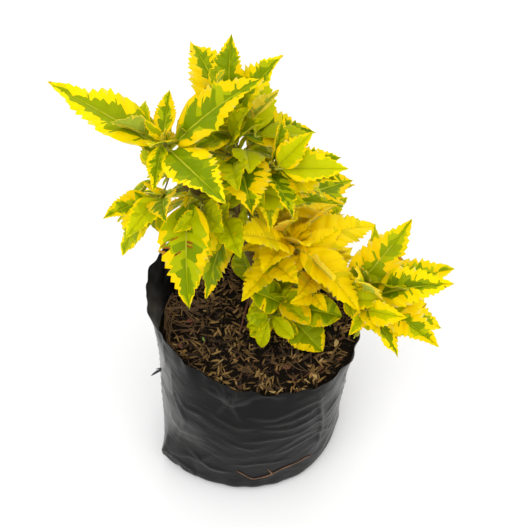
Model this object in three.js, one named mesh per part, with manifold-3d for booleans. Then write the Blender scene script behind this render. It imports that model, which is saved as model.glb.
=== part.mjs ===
// A potted variegated duranta: a film nursery bag of soil, a leaning trunk, boughs and
// masses of toothed leaves in opposite pairs. Millimetres, +Z up, the origin on the bag's
// flat underside, straight under the middle of its mouth. Directions are degrees round
// +Z from +X.
import * as THREE from "three";
import { mergeVertices } from "three/addons/utils/BufferGeometryUtils.js";
import Module from "manifold-3d";

const wasm = await Module();
wasm.setup();

// The bag: its mouth, its foot, the corner folded under it, how late it widens, its rim
const MOUTH = { radius: 75.4, shift: 3.6, towards: 92, oval: 3.4, along: -44 };
const FOOT = { radius: 70.2, shift: 9.9, towards: -82, oval: 4.8, along: 72 };
const CORNER = { size: 12, towards: -137, spread: 20 };
const FLARE = 3.8;
const RIM = { height: 112, tilt: 12, towards: 155 };
const FILM = 0.9;
const BAG_SIDES = 44;
const WALL_ROWS = 6;
const EDGE_ROUND = { height: 7, inset: 7, steps: 3 };

// The soil
const SOIL_LEVEL = 98;
const SOIL_RELIEF = 1.8;
const SOIL_CALM = 16;
const SOIL_RINGS = 5;
const SOIL_GAP = 1.3;

// Left between two pieces that meet
const GAP = 0.3;

// The trunk, from its flat cut on the soil to its tip under the top shoot
const TRUNK = {
  route: [
    [1, 15, SOIL_LEVEL + GAP],
    [4.2, 11.6, 110],
    [3.2, 9.4, 132],
    [-6.5, 7, 168],
    [-11, 6, 196],
    [-7.8, 6, 223],
  ],
  radii: [4.4, 1.9],
  flare: { size: 2.6, height: 5 },
};
const TRUNK_SIDES = 10;
const TRUNK_STEPS = 22;

// Boughs, each from inside the limb that carries it to where its shoot's stem takes over
const BOUGHS = {
  left_bough: {
    route: [
      [-11.3, 6, 190],
      [-25, 1.2, 208],
    ],
    radii: [2.4, 1.7],
    shoot: "left",
  },
  middle_bough: { route: [[4.2, 11.6, 110]], radii: [2.5, 1.7], shoot: "middle" },
  right_bough: {
    route: [
      [4.2, 11.6, 109],
      [14, 6.8, 112.4],
    ],
    radii: [2.9, 1.8],
    shoot: "far_right",
  },
};
const BOUGH_SIDES = 8;
const BOUGH_STEPS = 12;
const BOUGH_END = 0.12;

// Stems of shoots
const STEM_RADII = [1.4, 0.8];
const STEM_SIDES = 6;
const STEM_STEPS = 6;
const SPINE_STEPS = 24;

// A leaf: a narrow stalk, then a toothed blade folded along its rib by so many degrees
const STALK = 0.1;
const EDGE = 0.4;
const THICKNESS = 0.85;
const FOLD = [14, 24];
const TEETH = 0.05;
const STATIONS = [0, 0.12, 0.26, 0.42, 0.58, 0.74, 0.88, 1];

// How far a leaf may stray from its shoot's habit, by the seed of its pair
const STRAY = { turn: 50, opening: 36, length: 0.36, bend: 30 };

// Room kept from leaves, limbs, film and soil, and the turns tried to find it
const ROOM = { leaf: 4, limb: 1.6, film: 3, soil: 3 };
const TURNS = [0, 8, -8, 16, -16, 24, -24, 32, -32, 44, -44, 58, -58];
const PROBES = { along: 9, across: 5, from: 0.2, free: 0.35 };

// Shoots in the order they grow. Pairs run from the lowest to the highest, and each habit
// goes from its first value at the lowest pair to its second at the highest. The lowest
// pair stands at the share named start of the way from foot to tip, and every pair has
// its own seed.
const SHOOTS = {
  left: {
    foot: [-39.2, -4, 222.3],
    tip: [-49.2, -16, 265.8],
    start: 0.8,
    turn: -180,
    step: 120,
    opening: [50, 80],
    length: [85, 35],
    bend: [20, 5],
    width: 0.42,
    light: 1.5,
    seeds: [1315, 991, 329],
  },
  top: {
    foot: [-7.8, 6, 223.2],
    tip: [-13.6, 16, 265.2],
    start: 0.4,
    turn: 100,
    step: 105,
    opening: [100, 20],
    length: [75, 35],
    bend: [20, 35],
    width: 0.46,
    light: 2.2,
    seeds: [1935, 2618, 3256, 494],
  },
  upper_right: {
    foot: [-9, 6, 215],
    tip: [10.7, -2, 238.1],
    start: 0.5,
    turn: -70,
    step: 105,
    opening: [60, 50],
    length: [45, 40],
    bend: [50, 20],
    width: 0.42,
    light: 0.6,
    seeds: [3990, 2808, 953],
  },
  middle: {
    foot: [5.3, 10, 113.8],
    tip: [26.8, -4, 177.2],
    start: 0.9,
    turn: -135,
    step: 65,
    opening: [50, 80],
    length: [70, 45],
    bend: [35, 35],
    width: 0.46,
    light: 0.6,
    seeds: [403, 68, 3026],
  },
  far_right: {
    foot: [26.1, 0, 120.8],
    tip: [74.7, -26, 149.1],
    start: 0.7,
    turn: -60,
    step: 115,
    opening: [50, 35],
    length: [65, 55],
    bend: [50, 35],
    width: 0.42,
    light: 2.2,
    seeds: [3878, 2652, 1987, 2635],
  },
  lower_left: {
    foot: [-39.2, -4, 222.3],
    tip: [-56.3, -16, 225.6],
    start: 0.7,
    turn: -135,
    step: 70,
    opening: [50, 20],
    length: [45, 30],
    bend: [50, 35],
    width: 0.46,
    light: 2.2,
    seeds: [2705, 2594],
  },
  hanging: {
    foot: [-11.5, 6, 192.3],
    tip: [-36.7, -18, 229.6],
    start: 0.1,
    turn: -140,
    step: 70,
    opening: [90, 80],
    length: [55, 60],
    bend: [20, 50],
    width: 0.42,
    light: 2.2,
    seeds: [2661, 3521],
  },
  basal_left: {
    foot: [1.6, 14.3, 101],
    tip: [4, 18, 116],
    start: 0.3,
    turn: 135,
    step: 110,
    opening: [90, 65],
    length: [40, 40],
    bend: [5, 35],
    width: 0.54,
    light: 2.2,
    seeds: [98, 3789],
  },
  basal_right: {
    foot: [9.6, 8.6, 110.6],
    tip: [18.7, -14, 128.4],
    start: 0.5,
    turn: -70,
    step: 60,
    opening: [60, 50],
    length: [50, 35],
    bend: [5, 35],
    width: 0.6,
    light: 0.6,
    seeds: [3240, 2989],
  },
  lower_middle: {
    foot: [15.2, 6, 112.9],
    tip: [43.7, -4, 149.3],
    start: 0.7,
    turn: 140,
    step: 70,
    opening: [70, 50],
    length: [50, 35],
    bend: [35, 20],
    width: 0.42,
    light: 0.6,
    seeds: [2142, 428, 3877],
  },
  inner_left: {
    foot: [-43.5, -7.3, 238.9],
    tip: [-61.3, 12, 219.1],
    start: 0.4,
    turn: -145,
    step: 70,
    opening: [80, 50],
    length: [40, 45],
    bend: [5, 5],
    width: 0.5,
    light: 2.2,
    seeds: [2340, 1090],
  },
  right: {
    foot: [-3, 8, 155],
    tip: [5, 10, 197.2],
    start: 0.9,
    turn: 50,
    step: 110,
    opening: [90, 65],
    length: [75, 50],
    bend: [20, 5],
    width: 0.5,
    light: 0.6,
    seeds: [2635, 278],
  },
  back_left: {
    foot: [-11, 6.5, 180],
    tip: [-34, 56, 182],
    start: 0.5,
    turn: -170,
    step: 110,
    opening: [50, 50],
    length: [55, 50],
    bend: [5, 20],
    width: 0.5,
    light: 2.2,
    seeds: [1519, 1121, 3853],
  },
  back_middle: {
    foot: [-4, 7.6, 160],
    tip: [0, 66, 168],
    start: 0.5,
    turn: 130,
    step: 95,
    opening: [50, 35],
    length: [45, 50],
    bend: [20, 20],
    width: 0.46,
    light: 2.2,
    seeds: [3135, 2906, 1597],
  },
  back_right: {
    foot: [3.6, 10, 128],
    tip: [36, 50, 158],
    start: 0.9,
    turn: 70,
    step: 95,
    opening: [50, 35],
    length: [50, 50],
    bend: [35, 5],
    width: 0.46,
    light: 2.2,
    seeds: [494, 559, 2042],
  },
};

const rad = THREE.MathUtils.degToRad;
const mix = THREE.MathUtils.lerp;
const vec = (p) => new THREE.Vector3(...p);
const UP = new THREE.Vector3(0, 0, 1);
const EAST = new THREE.Vector3(1, 0, 0);

/** Height of the bag's rim in a direction. */
const rimHeight = (angle) => RIM.height + RIM.tilt * Math.cos(angle - rad(RIM.towards));

/** Radius of the bag's outer wall in a direction, from its foot (0) to its rim (1). */
function wallRadius(angle, share) {
  const off = (towards) => angle - rad(towards);
  const ring = ({ radius, shift, towards, oval, along }) => {
    return radius + shift * Math.cos(off(towards)) + oval * Math.cos(2 * off(along));
  };
  const turn = Math.atan2(Math.sin(off(CORNER.towards)), Math.cos(off(CORNER.towards)));
  const corner = CORNER.size * Math.exp(-((turn / rad(CORNER.spread)) ** 2)) * (1 - share) ** 3;
  return mix(ring(FOOT) + corner, ring(MOUTH), share ** FLARE);
}

/** Height of the soil: uneven, but calm round the trunk's foot. */
function soilHeight(x, y) {
  const [tx, ty] = TRUNK.route[0];
  const away = Math.hypot(x - tx, y - ty) / SOIL_CALM;
  const calm = 1 - Math.exp(-(away ** 4));
  const waves = Math.sin(x / 11 + 1) * Math.cos(y / 13) + 0.5 * Math.sin((x + y) / 7);
  return SOIL_LEVEL - calm * SOIL_RELIEF * (0.8 + 0.5 * waves);
}

/** Half a section of the bag up to a height, drawn in by a distance, in shares of its radius. */
function wallProfile(inset, height) {
  const points = [];
  for (let i = 0; i <= EDGE_ROUND.steps; i++) {
    const turn = (Math.PI / 2) * (i / EDGE_ROUND.steps);
    const r = 1 - (EDGE_ROUND.inset * (1 - Math.sin(turn)) + inset) / FOOT.radius;
    points.push(new THREE.Vector2(r, Math.max(EDGE_ROUND.height * (1 - Math.cos(turn)), inset)));
  }
  const r = 1 - inset / FOOT.radius;
  for (let i = 1; i <= WALL_ROWS; i++) {
    points.push(new THREE.Vector2(r, mix(EDGE_ROUND.height, SOIL_LEVEL, i / WALL_ROWS)));
  }
  if (height > SOIL_LEVEL) points.push(new THREE.Vector2(r, height));
  return points;
}

/** Spins a profile round the bag's axis, and gives it the bag's uneven outline and its rim. */
function spun(profile) {
  const geometry = new THREE.LatheGeometry(profile, BAG_SIDES);
  const at = geometry.attributes.position;
  for (let i = 0; i < at.count; i++) {
    const angle = Math.atan2(-at.getZ(i), at.getX(i));
    const z = at.getY(i) > SOIL_LEVEL ? rimHeight(angle) : at.getY(i);
    const r = Math.hypot(at.getX(i), at.getZ(i)) * wallRadius(angle, z / rimHeight(angle));
    at.setXYZ(i, r * Math.cos(angle), r * Math.sin(angle), z);
  }
  return geometry;
}

/** The bag: flat underside, wall up to the slanting rim, and down inside again. */
function bagGeometry() {
  const outside = [new THREE.Vector2(0, 0), ...wallProfile(0, RIM.height)];
  const inside = [new THREE.Vector2(0, FILM), ...wallProfile(FILM, RIM.height)];
  return spun([...outside, ...inside.reverse()]);
}

/** The soil: fills the bag inside, clear of the film, up to its uneven top. */
function soilGeometry() {
  const inset = FILM + SOIL_GAP;
  const side = wallProfile(inset, SOIL_LEVEL);
  const edge = side.at(-1).x;
  const rings = Array.from({ length: SOIL_RINGS }, (_, i) => {
    return new THREE.Vector2(edge * (1 - (i + 1) / SOIL_RINGS), SOIL_LEVEL);
  });
  const geometry = spun([new THREE.Vector2(0, inset), ...side, ...rings]);
  const at = geometry.attributes.position;
  for (let i = 0; i < at.count; i++) {
    if (at.getZ(i) > SOIL_LEVEL - GAP) at.setZ(i, soilHeight(at.getX(i), at.getY(i)));
  }
  return geometry;
}

/** A limb through named points, with a radius that tapers from its foot to its tip. */
function limbOf(owner, route, radii, settings = {}) {
  const curve = new THREE.CatmullRomCurve3(route.map(vec), false, "catmullrom", 0.5);
  return { owner, curve, radii, ...settings };
}

/** A limb's radius at a share of its way, with any flare at its foot. */
function limbRadius({ curve, radii, flare }, share) {
  const rise = curve.getPoint(share).z - curve.points[0].z;
  return mix(...radii, share) + (flare ? flare.size * Math.exp(-rise / flare.height) : 0);
}

/** Two directions across a stem, the first as near east as it can be. */
function crossways(axis) {
  const first = EAST.clone().addScaledVector(axis, -EAST.dot(axis)).normalize();
  return [first, axis.clone().cross(first)];
}

/** A cylinder bent along a limb. A level limb's sections lie flat, as a cut on the soil does. */
function limbGeometry(limb, sides, steps, proud = 0) {
  const geometry = new THREE.CylinderGeometry(1, 1, 1, sides, steps);
  const at = geometry.attributes.position;
  for (let i = 0; i < at.count; i++) {
    const share = at.getY(i) + 0.5;
    const centre = limb.curve.getPoint(share);
    const axis = limb.level ? UP : limb.curve.getTangent(share);
    const [first, second] = crossways(axis);
    const r = limbRadius(limb, share) + proud;
    centre.addScaledVector(first, at.getZ(i) * r).addScaledVector(second, at.getX(i) * r);
    at.setXYZ(i, centre.x, centre.y, centre.z);
  }
  return geometry;
}

/** A repeatable stream of numbers from -0.5 to 0.5. */
function stream(seed) {
  let state = Math.imul(seed, 7919) >>> 0;
  return () => {
    state = (Math.imul(state, 1664525) + 1013904223) >>> 0;
    return state / 2 ** 32 - 0.5;
  };
}

/** The stem of a shoot at a share of its way from foot to tip. */
const stemPoint = ({ foot, tip }, share) => vec(foot).lerp(vec(tip), share);
const stemAxis = ({ foot, tip }) => vec(tip).sub(vec(foot)).normalize();

/** One leaf of a pair: where it starts, which way it runs and faces, its length and bend. */
function leafOf(shoot, pair, side, stray, turn) {
  const rank = pair / (shoot.seeds.length - 1);
  const axis = stemAxis(shoot);
  const [first, second] = crossways(axis);
  const round = rad(shoot.turn + shoot.step * pair + 180 * side + STRAY.turn * stray[0] + turn);
  const opening = rad(mix(...shoot.opening, rank) + STRAY.opening * stray[1]);
  const out = first.multiplyScalar(Math.cos(round)).addScaledVector(second, Math.sin(round));
  const along = axis.clone().multiplyScalar(Math.cos(opening)).addScaledVector(out, Math.sin(opening));
  const face = axis.clone().multiplyScalar(Math.sin(opening)).addScaledVector(out, -Math.cos(opening));
  face.addScaledVector(UP, shoot.light);
  face.addScaledVector(along, -face.dot(along)).normalize();
  return {
    base: stemPoint(shoot, mix(shoot.start, 1, rank)),
    along,
    face,
    length: mix(...shoot.length, rank) * (1 + STRAY.length * stray[2]),
    bend: rad(mix(...shoot.bend, rank) + STRAY.bend * stray[3]),
    fold: rad(mix(...FOLD, rank)),
    width: shoot.width,
  };
}

/** Half the width of a leaf at a share of its length. */
function halfWidth(leaf, share) {
  const blade = THREE.MathUtils.clamp((share - STALK) / (1 - STALK), 0, 1);
  return 0.5 * leaf.width * leaf.length * Math.sin(Math.PI * blade ** 0.72) ** 1.15 + EDGE;
}

/** A point of a leaf: a share along its rib, across from -1 to 1, and raised off its face. */
function leafPoint(leaf, share, across, raised = 0, teeth = 0) {
  const bend = Math.max(Math.abs(leaf.bend), 1e-4);
  const turned = bend * share;
  const point = leaf.base.clone();
  point.addScaledVector(leaf.along, (leaf.length * Math.sin(turned)) / bend);
  point.addScaledVector(leaf.face, (-leaf.length * (1 - Math.cos(turned))) / bend);
  const normal = leaf.face.clone().multiplyScalar(Math.cos(turned));
  normal.addScaledVector(leaf.along, Math.sin(turned));
  const side = leaf.along.clone().cross(leaf.face);
  const width = halfWidth(leaf, share) * (1 + teeth);
  point.addScaledVector(side, across * width * Math.cos(leaf.fold));
  return point.addScaledVector(normal, Math.abs(across) * width * Math.sin(leaf.fold) + raised);
}

/** Points spread over a leaf's blade, with the share along it that each stands at. */
function probesOf(leaf) {
  const found = [];
  for (let i = 0; i < PROBES.along; i++) {
    const share = mix(PROBES.from, 1, i / (PROBES.along - 1));
    for (let j = 0; j < PROBES.across; j++) {
      found.push({ share, at: leafPoint(leaf, share, mix(-1, 1, j / (PROBES.across - 1))) });
    }
  }
  return found;
}

/** Whether a point is clear of the bag's wall and of the soil. */
function clearOfPot({ x, y, z }) {
  const angle = Math.atan2(y, x);
  const r = Math.hypot(x, y);
  const wall = wallRadius(angle, Math.min(1, z / rimHeight(angle)));
  if (z < rimHeight(angle) + ROOM.film && Math.abs(r - wall) < ROOM.film) return false;
  return r > wall || z > SOIL_LEVEL + ROOM.soil;
}

/** Whether a leaf has room: off the pot, the limbs and every leaf placed so far. */
function hasRoom(probes, owner, placed, limbs) {
  for (const { share, at } of probes) {
    if (!clearOfPot(at)) return false;
    for (const other of limbs) {
      if (other.owner === owner) continue;
      if (other.spine.some(({ point, radius }) => point.distanceTo(at) < radius + ROOM.limb)) return false;
    }
    for (const leaf of placed) {
      if (leaf.owner === owner && share < PROBES.free) continue;
      for (const probe of leaf.probes) {
        if (leaf.owner === owner && probe.share < PROBES.free) continue;
        if (probe.at.distanceTo(at) < ROOM.leaf) return false;
      }
    }
  }
  return true;
}

/** Grows every shoot's leaves in turn, each turned until it has room or else left out. */
function growLeaves(limbs) {
  const placed = [];
  for (const [owner, shoot] of Object.entries(SHOOTS)) {
    shoot.seeds.forEach((seed, pair) => {
      const draw = stream(seed);
      for (const side of [0, 1]) {
        const stray = [draw(), draw(), draw(), draw()];
        for (const turn of TURNS) {
          const leaf = leafOf(shoot, pair, side, stray, turn);
          const probes = probesOf(leaf);
          if (!hasRoom(probes, owner, placed, limbs)) continue;
          placed.push({ owner, leaf, probes });
          break;
        }
      }
    });
  }
  return placed;
}

/** The share of a shoot's way at which its stem takes over from its bough. */
const enterShare = (shoot) => shoot.start - BOUGH_END;

/** Every limb: the trunk, the boughs, and each shoot's stem, with points along its spine. */
function growLimbs() {
  const limbs = { trunk: limbOf("trunk", TRUNK.route, TRUNK.radii, { flare: TRUNK.flare, level: true }) };
  for (const [name, { route, radii, shoot }] of Object.entries(BOUGHS)) {
    const end = stemPoint(SHOOTS[shoot], enterShare(SHOOTS[shoot]));
    limbs[name] = limbOf(name, [...route, SHOOTS[shoot].foot, end.toArray()], radii);
  }
  const carried = Object.values(BOUGHS).map(({ shoot }) => shoot);
  for (const [name, shoot] of Object.entries(SHOOTS)) {
    const reach = vec(shoot.tip).distanceTo(vec(shoot.foot));
    const from = carried.includes(name) ? enterShare(shoot) + GAP / reach : 0;
    const route = [from, (from + 1) / 2, 1].map((share) => stemPoint(shoot, share).toArray());
    limbs[name] = limbOf(name, route, STEM_RADII);
  }
  for (const limb of Object.values(limbs)) {
    limb.spine = Array.from({ length: SPINE_STEPS + 1 }, (_, i) => {
      const share = i / SPINE_STEPS;
      return { point: limb.curve.getPoint(share), radius: limbRadius(limb, share) };
    });
  }
  return limbs;
}

/** A flat box bent into a leaf, its edge in and out at the teeth. */
function leafGeometry(leaf) {
  const steps = STATIONS.length - 1;
  const geometry = new THREE.BoxGeometry(1, 1, 1, 2, 1, steps);
  const at = geometry.attributes.position;
  for (let i = 0; i < at.count; i++) {
    const station = Math.round((at.getZ(i) + 0.5) * steps);
    const teeth = station > 1 && station < steps ? TEETH * (station % 2 ? 1 : -1) : 0;
    const point = leafPoint(leaf, STATIONS[station], -2 * at.getX(i), at.getY(i) * THICKNESS, teeth);
    at.setXYZ(i, point.x, point.y, point.z);
  }
  return geometry;
}

/** A three.js geometry as a solid that can be joined and cut. */
function solid(geometry) {
  const bare = new THREE.BufferGeometry();
  bare.setAttribute("position", geometry.attributes.position);
  bare.setIndex(geometry.index);
  const merged = mergeVertices(bare, 1e-4);
  return new wasm.Manifold(
    new wasm.Mesh({
      numProp: 3,
      vertProperties: new Float32Array(merged.attributes.position.array),
      triVerts: new Uint32Array(merged.index.array),
    }),
  );
}

/** A solid as a three.js geometry again, its largest piece if a cut left more than one. */
function geometryOf(cut) {
  const whole = cut.decompose().sort((a, b) => b.volume() - a.volume())[0];
  const { vertProperties, triVerts } = whole.getMesh();
  const geometry = new THREE.BufferGeometry();
  geometry.setAttribute("position", new THREE.BufferAttribute(new Float32Array(vertProperties), 3));
  geometry.setIndex(new THREE.BufferAttribute(new Uint32Array(triVerts), 1));
  geometry.computeVertexNormals();
  return geometry;
}

const limbs = growLimbs();
const leaves = growLeaves(Object.values(limbs));

/** The space that a limb and its gap take, cut out of what grows on it. */
function seatOf(name) {
  const sides = name === "trunk" ? TRUNK_SIDES : BOUGH_SIDES;
  const steps = name === "trunk" ? TRUNK_STEPS : BOUGH_STEPS;
  return solid(limbGeometry(limbs[name], sides, steps, GAP));
}

const seats = Object.fromEntries(["trunk", ...Object.keys(BOUGHS)].map((name) => [name, seatOf(name)]));

/** A bough, cut clear of the trunk and of the boughs before it. */
function boughGeometry(name) {
  const before = Object.keys(BOUGHS).slice(0, Object.keys(BOUGHS).indexOf(name));
  const bough = solid(limbGeometry(limbs[name], BOUGH_SIDES, BOUGH_STEPS));
  return geometryOf([...before, "trunk"].reduce((rest, other) => rest.subtract(seats[other]), bough));
}

/** A mass: one stem with its leaves, cut clear of the limbs. */
function massGeometry(name) {
  const stem = solid(limbGeometry(limbs[name], STEM_SIDES, STEM_STEPS));
  const blades = leaves.filter(({ owner }) => owner === name).map(({ leaf }) => solid(leafGeometry(leaf)));
  const mass = wasm.Manifold.union([stem, ...blades]);
  return geometryOf(Object.values(seats).reduce((rest, seat) => rest.subtract(seat), mass));
}

/** A plain finish. */
const finish = (color, roughness) => new THREE.MeshStandardMaterial({ color, roughness, metalness: 0 });
const FILM_FINISH = finish(0x2c2d30, 0.45);
const SOIL_FINISH = finish(0x2b1f16, 0.95);
const BARK_FINISH = finish(0x6d6138, 0.8);
const LEAF_FINISH = finish(0xc9c022, 0.5);
FILM_FINISH.side = THREE.DoubleSide;

const plant = new THREE.Group();

/** Adds a named piece. */
function add(name, geometry, material) {
  const mesh = new THREE.Mesh(geometry, material);
  mesh.name = name;
  plant.add(mesh);
}

add("pot_bag", bagGeometry(), FILM_FINISH);
add("soil", soilGeometry(), SOIL_FINISH);
add("trunk", geometryOf(solid(limbGeometry(limbs.trunk, TRUNK_SIDES, TRUNK_STEPS))), BARK_FINISH);
for (const name of Object.keys(BOUGHS)) add(name, boughGeometry(name), BARK_FINISH);
for (const name of Object.keys(SHOOTS)) add(`${name}_foliage`, massGeometry(name), LEAF_FINISH);

export default plant;
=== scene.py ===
import logging
import math
from collections.abc import Callable, Iterable, Iterator, Sequence
from contextlib import contextmanager
from dataclasses import dataclass, field, replace
from enum import Enum
from itertools import product

import bpy
import numpy as np
from mathutils import Matrix, Vector, noise


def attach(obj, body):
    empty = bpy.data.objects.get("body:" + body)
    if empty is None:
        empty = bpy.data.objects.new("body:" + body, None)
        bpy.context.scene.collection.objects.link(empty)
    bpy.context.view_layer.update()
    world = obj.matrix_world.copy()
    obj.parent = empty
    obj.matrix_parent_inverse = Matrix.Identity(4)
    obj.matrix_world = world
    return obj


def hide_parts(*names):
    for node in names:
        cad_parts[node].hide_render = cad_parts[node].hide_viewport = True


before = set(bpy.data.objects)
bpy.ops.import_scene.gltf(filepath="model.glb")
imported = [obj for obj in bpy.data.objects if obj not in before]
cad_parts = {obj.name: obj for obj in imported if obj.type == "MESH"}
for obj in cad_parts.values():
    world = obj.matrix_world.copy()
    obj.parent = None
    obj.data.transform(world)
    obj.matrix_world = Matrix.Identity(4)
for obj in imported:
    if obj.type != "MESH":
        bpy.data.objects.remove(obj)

# The looks of a potted variegated duranta: its leaves, stems, bark, soil and film bag,
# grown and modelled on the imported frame. Shapes are worked out in millimetres, and each
# mesh is put into metres as it is made. Directions are degrees round +Z from +X.
MM = 0.001
BODY = "root"
LOG = logging.getLogger("duranta")
Array = np.ndarray
Pair = tuple[float, float]
Point = tuple[float, float, float]
UP = np.array([0.0, 0.0, 1.0])
EAST = np.array([1.0, 0.0, 0.0])


def mix(first: float | Array, second: float | Array, share: float | Array) -> float | Array:
    """The value a share of the way from the first to the second."""
    return first + (second - first) * share


def unit(vector: Array) -> Array:
    """The vector at length one."""
    return vector / np.linalg.norm(vector)


def square_to(axis: Array) -> tuple[Array, Array]:
    """Two directions square to an axis and to each other, the first one near +X."""
    first = unit(EAST - axis * (EAST @ axis))
    return first, np.cross(axis, first)


def spread(axis: Array, around: float, opening: float, light: float = 0.0) -> tuple[Array, Array, Array]:
    """Directions for what grows off an axis.

    Args:
        axis: The direction of the axis.
        around: Where round it, in radians.
        opening: The angle to it, in radians.
        light: How much a face there turns up.

    Returns:
        The ways straight out from the axis, of its growth and of its face.
    """
    first, second = square_to(axis)
    out = first * math.cos(around) + second * math.sin(around)
    along = axis * math.cos(opening) + out * math.sin(opening)
    face = axis * math.sin(opening) - out * math.cos(opening) + UP * light
    return out, along, unit(face - along * (face @ along))


def smoothed(values: Array) -> Array:
    """A line smoothed three times between its ends.

    Args:
        values: Its points, or a value at each.

    Returns:
        The smoothed ones.
    """
    found = values.copy()
    for _ in range(3):
        found[1:-1] = (found[:-2] + 2 * found[1:-1] + found[2:]) / 4
    return found


def tone(*shown: int) -> tuple[float, ...]:
    """A display colour of 0 to 255 as a shader's linear colour with full alpha."""
    shares = (value / 255 for value in shown)
    return (*(c / 12.92 if c <= 0.04045 else ((c + 0.055) / 1.055) ** 2.4 for c in shares), 1.0)


class Seeded:
    """A repeatable stream of numbers, the same one that the frame's leaves grew by."""

    def __init__(self, seed: int) -> None:
        """Starts the stream at a seed."""
        self.state = (seed * 7919) & 0xFFFFFFFF

    def draw(self) -> float:
        """The next number, from -0.5 to 0.5."""
        self.state = (self.state * 1664525 + 1013904223) & 0xFFFFFFFF
        return self.state / 2**32 - 0.5

    def between(self, low: float, high: float) -> float:
        """The next number, from low to high."""
        return mix(low, high, self.draw() + 0.5)


# Growth
@dataclass(frozen=True)
class View:
    """The photograph's view: where the camera stands, and where sky shows through the crown.

    Attributes:
        target: The point that it looks at.
        distance: How far off the camera stands.
        elevation: How far it looks down, in degrees.
        lens: Its focal length.
        sensor: Its sensor's width.
        picture: The photograph's width and height in picture points.
        sky: Round patches of sky, by place and radius in picture points.
    """

    target: Point = (2.8, 37.0, 115.0)
    distance: float = 560.0
    elevation: float = 46.0
    lens: float = 52.05
    sensor: float = 36.0
    picture: tuple[int, int] = (517, 527)
    sky: tuple[tuple[int, int, int], ...] = (
        (302, 106, 22), (335, 138, 20), (372, 190, 26), (244, 143, 6), (212, 48, 6), (168, 58, 20),
        (120, 170, 34), (96, 195, 26), (157, 190, 7), (171, 208, 7), (150, 262, 22), (138, 98, 10),
        (255, 40, 14), (420, 200, 30),
    )

    @property
    def back(self) -> Array:
        """The direction from the target to the camera."""
        tilt = math.radians(self.elevation)
        return np.array([0.0, -math.cos(tilt), math.sin(tilt)])

    def seen(self, points: Array) -> Array:
        """Where points lie in the picture, across and down.

        Args:
            points: One row for each point.

        Returns:
            One row of two picture points for each.
        """
        away = points - (np.array(self.target) + self.back * self.distance)
        width, height = self.picture
        scale = self.lens / self.sensor * width / -(away @ self.back)
        up = np.cross(self.back, EAST)
        return np.stack([width / 2 + scale * away[:, 0], height / 2 - scale * (away @ up)], 1)

    def open_to_sky(self, points: Array) -> bool:
        """Whether any of the points would close a patch of sky."""
        seen = self.seen(points)
        return any(np.any(np.hypot(seen[:, 0] - x, seen[:, 1] - y) < radius) for x, y, radius in self.sky)


@dataclass
class Limb:
    """A tapering limb on a smooth line through its route.

    Attributes:
        owner: The piece it belongs to.
        route: The points that its middle passes.
        radii: Its radius at its foot and at its tip.
        flare: How much wider its foot is, and the height in which that fades.
        level: Whether its sections lie flat.
    """

    owner: str
    route: list[Point]
    radii: Pair
    flare: Pair | None = None
    level: bool = False

    def point(self, share: float) -> Array:
        """The point of its middle at a share of its way.

        Args:
            share: The share of its way, from 0 to 1.

        Returns:
            The point.
        """
        points = np.array(self.route, float)
        last = len(points) - 1
        place = last * share
        start = min(int(math.floor(place)), last - 1)
        weight = place - start
        before = points[start - 1] if start > 0 else 2 * points[0] - points[1]
        after = points[start + 2] if start + 2 <= last else 2 * points[last] - points[last - 1]
        one, two = points[start], points[start + 1]
        leave, arrive = (two - before) * 0.5, (after - one) * 0.5
        bend = -3 * one + 3 * two - 2 * leave - arrive
        turn = 2 * one - 2 * two + leave + arrive
        return one + leave * weight + bend * weight**2 + turn * weight**3

    def heading(self, share: float) -> Array:
        """The direction in which it runs at a share of its way."""
        near = 1e-4
        return unit(self.point(min(1, share + near)) - self.point(max(0, share - near)))

    def radius(self, share: float) -> float:
        """Its radius at a share of its way.

        Args:
            share: The share of its way, from 0 to 1.

        Returns:
            The radius.
        """
        size = mix(*self.radii, share)
        if self.flare:
            size += self.flare[0] * math.exp(-(self.point(share)[2] - self.route[0][2]) / self.flare[1])
        return size

    def spine(self, steps: int) -> tuple[Array, Array]:
        """Points along its middle, and its radius at each."""
        shares = [i / steps for i in range(steps + 1)]
        return np.array([self.point(s) for s in shares]), np.array([self.radius(s) for s in shares])


@dataclass
class Shoot:
    """A stem with opposite leaves. Each habit goes from its lowest pair to its highest.

    Attributes:
        foot: Where its stem starts.
        tip: Where its stem ends.
        start: Where on the stem the lowest pair stands, as a share.
        turn: Where round the stem that pair stands.
        step: How far round the next pair stands.
        opening: The angle between leaf and stem.
        length: A leaf's length.
        bend: How far it arches over.
        width: Its width as a share of its length.
        light: How much it turns its face up.
        seeds: The seed of each pair.
        green: How far the green reaches from rib to margin.
        leafy: The share of the stem from which it has side twigs.
        toothed: How deep the teeth are, beside those of others.
    """

    foot: Point
    tip: Point
    start: float
    turn: float
    step: float
    opening: Pair
    length: Pair
    bend: Pair
    width: float
    light: float
    seeds: tuple[int, ...]
    green: Pair = (0.6, 0.5)
    leafy: float = 0.12
    toothed: float = 1.0

    def rank(self, pair: int) -> float:
        """How high a pair of leaves stands, from 0 for the lowest to 1."""
        return pair / (len(self.seeds) - 1)

    def share(self, pair: int) -> float:
        """The share of the stem at which a pair stands."""
        return mix(self.start, 1, self.rank(pair))

    def stem(self, share: float) -> Array:
        """A point of its stem."""
        return np.array(self.foot) + (np.array(self.tip) - np.array(self.foot)) * share

    @property
    def axis(self) -> Array:
        """The direction of its stem."""
        return unit(np.array(self.tip, float) - np.array(self.foot))

    @property
    def reach(self) -> float:
        """The length of its stem."""
        return float(np.linalg.norm(np.array(self.tip) - np.array(self.foot)))


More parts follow.
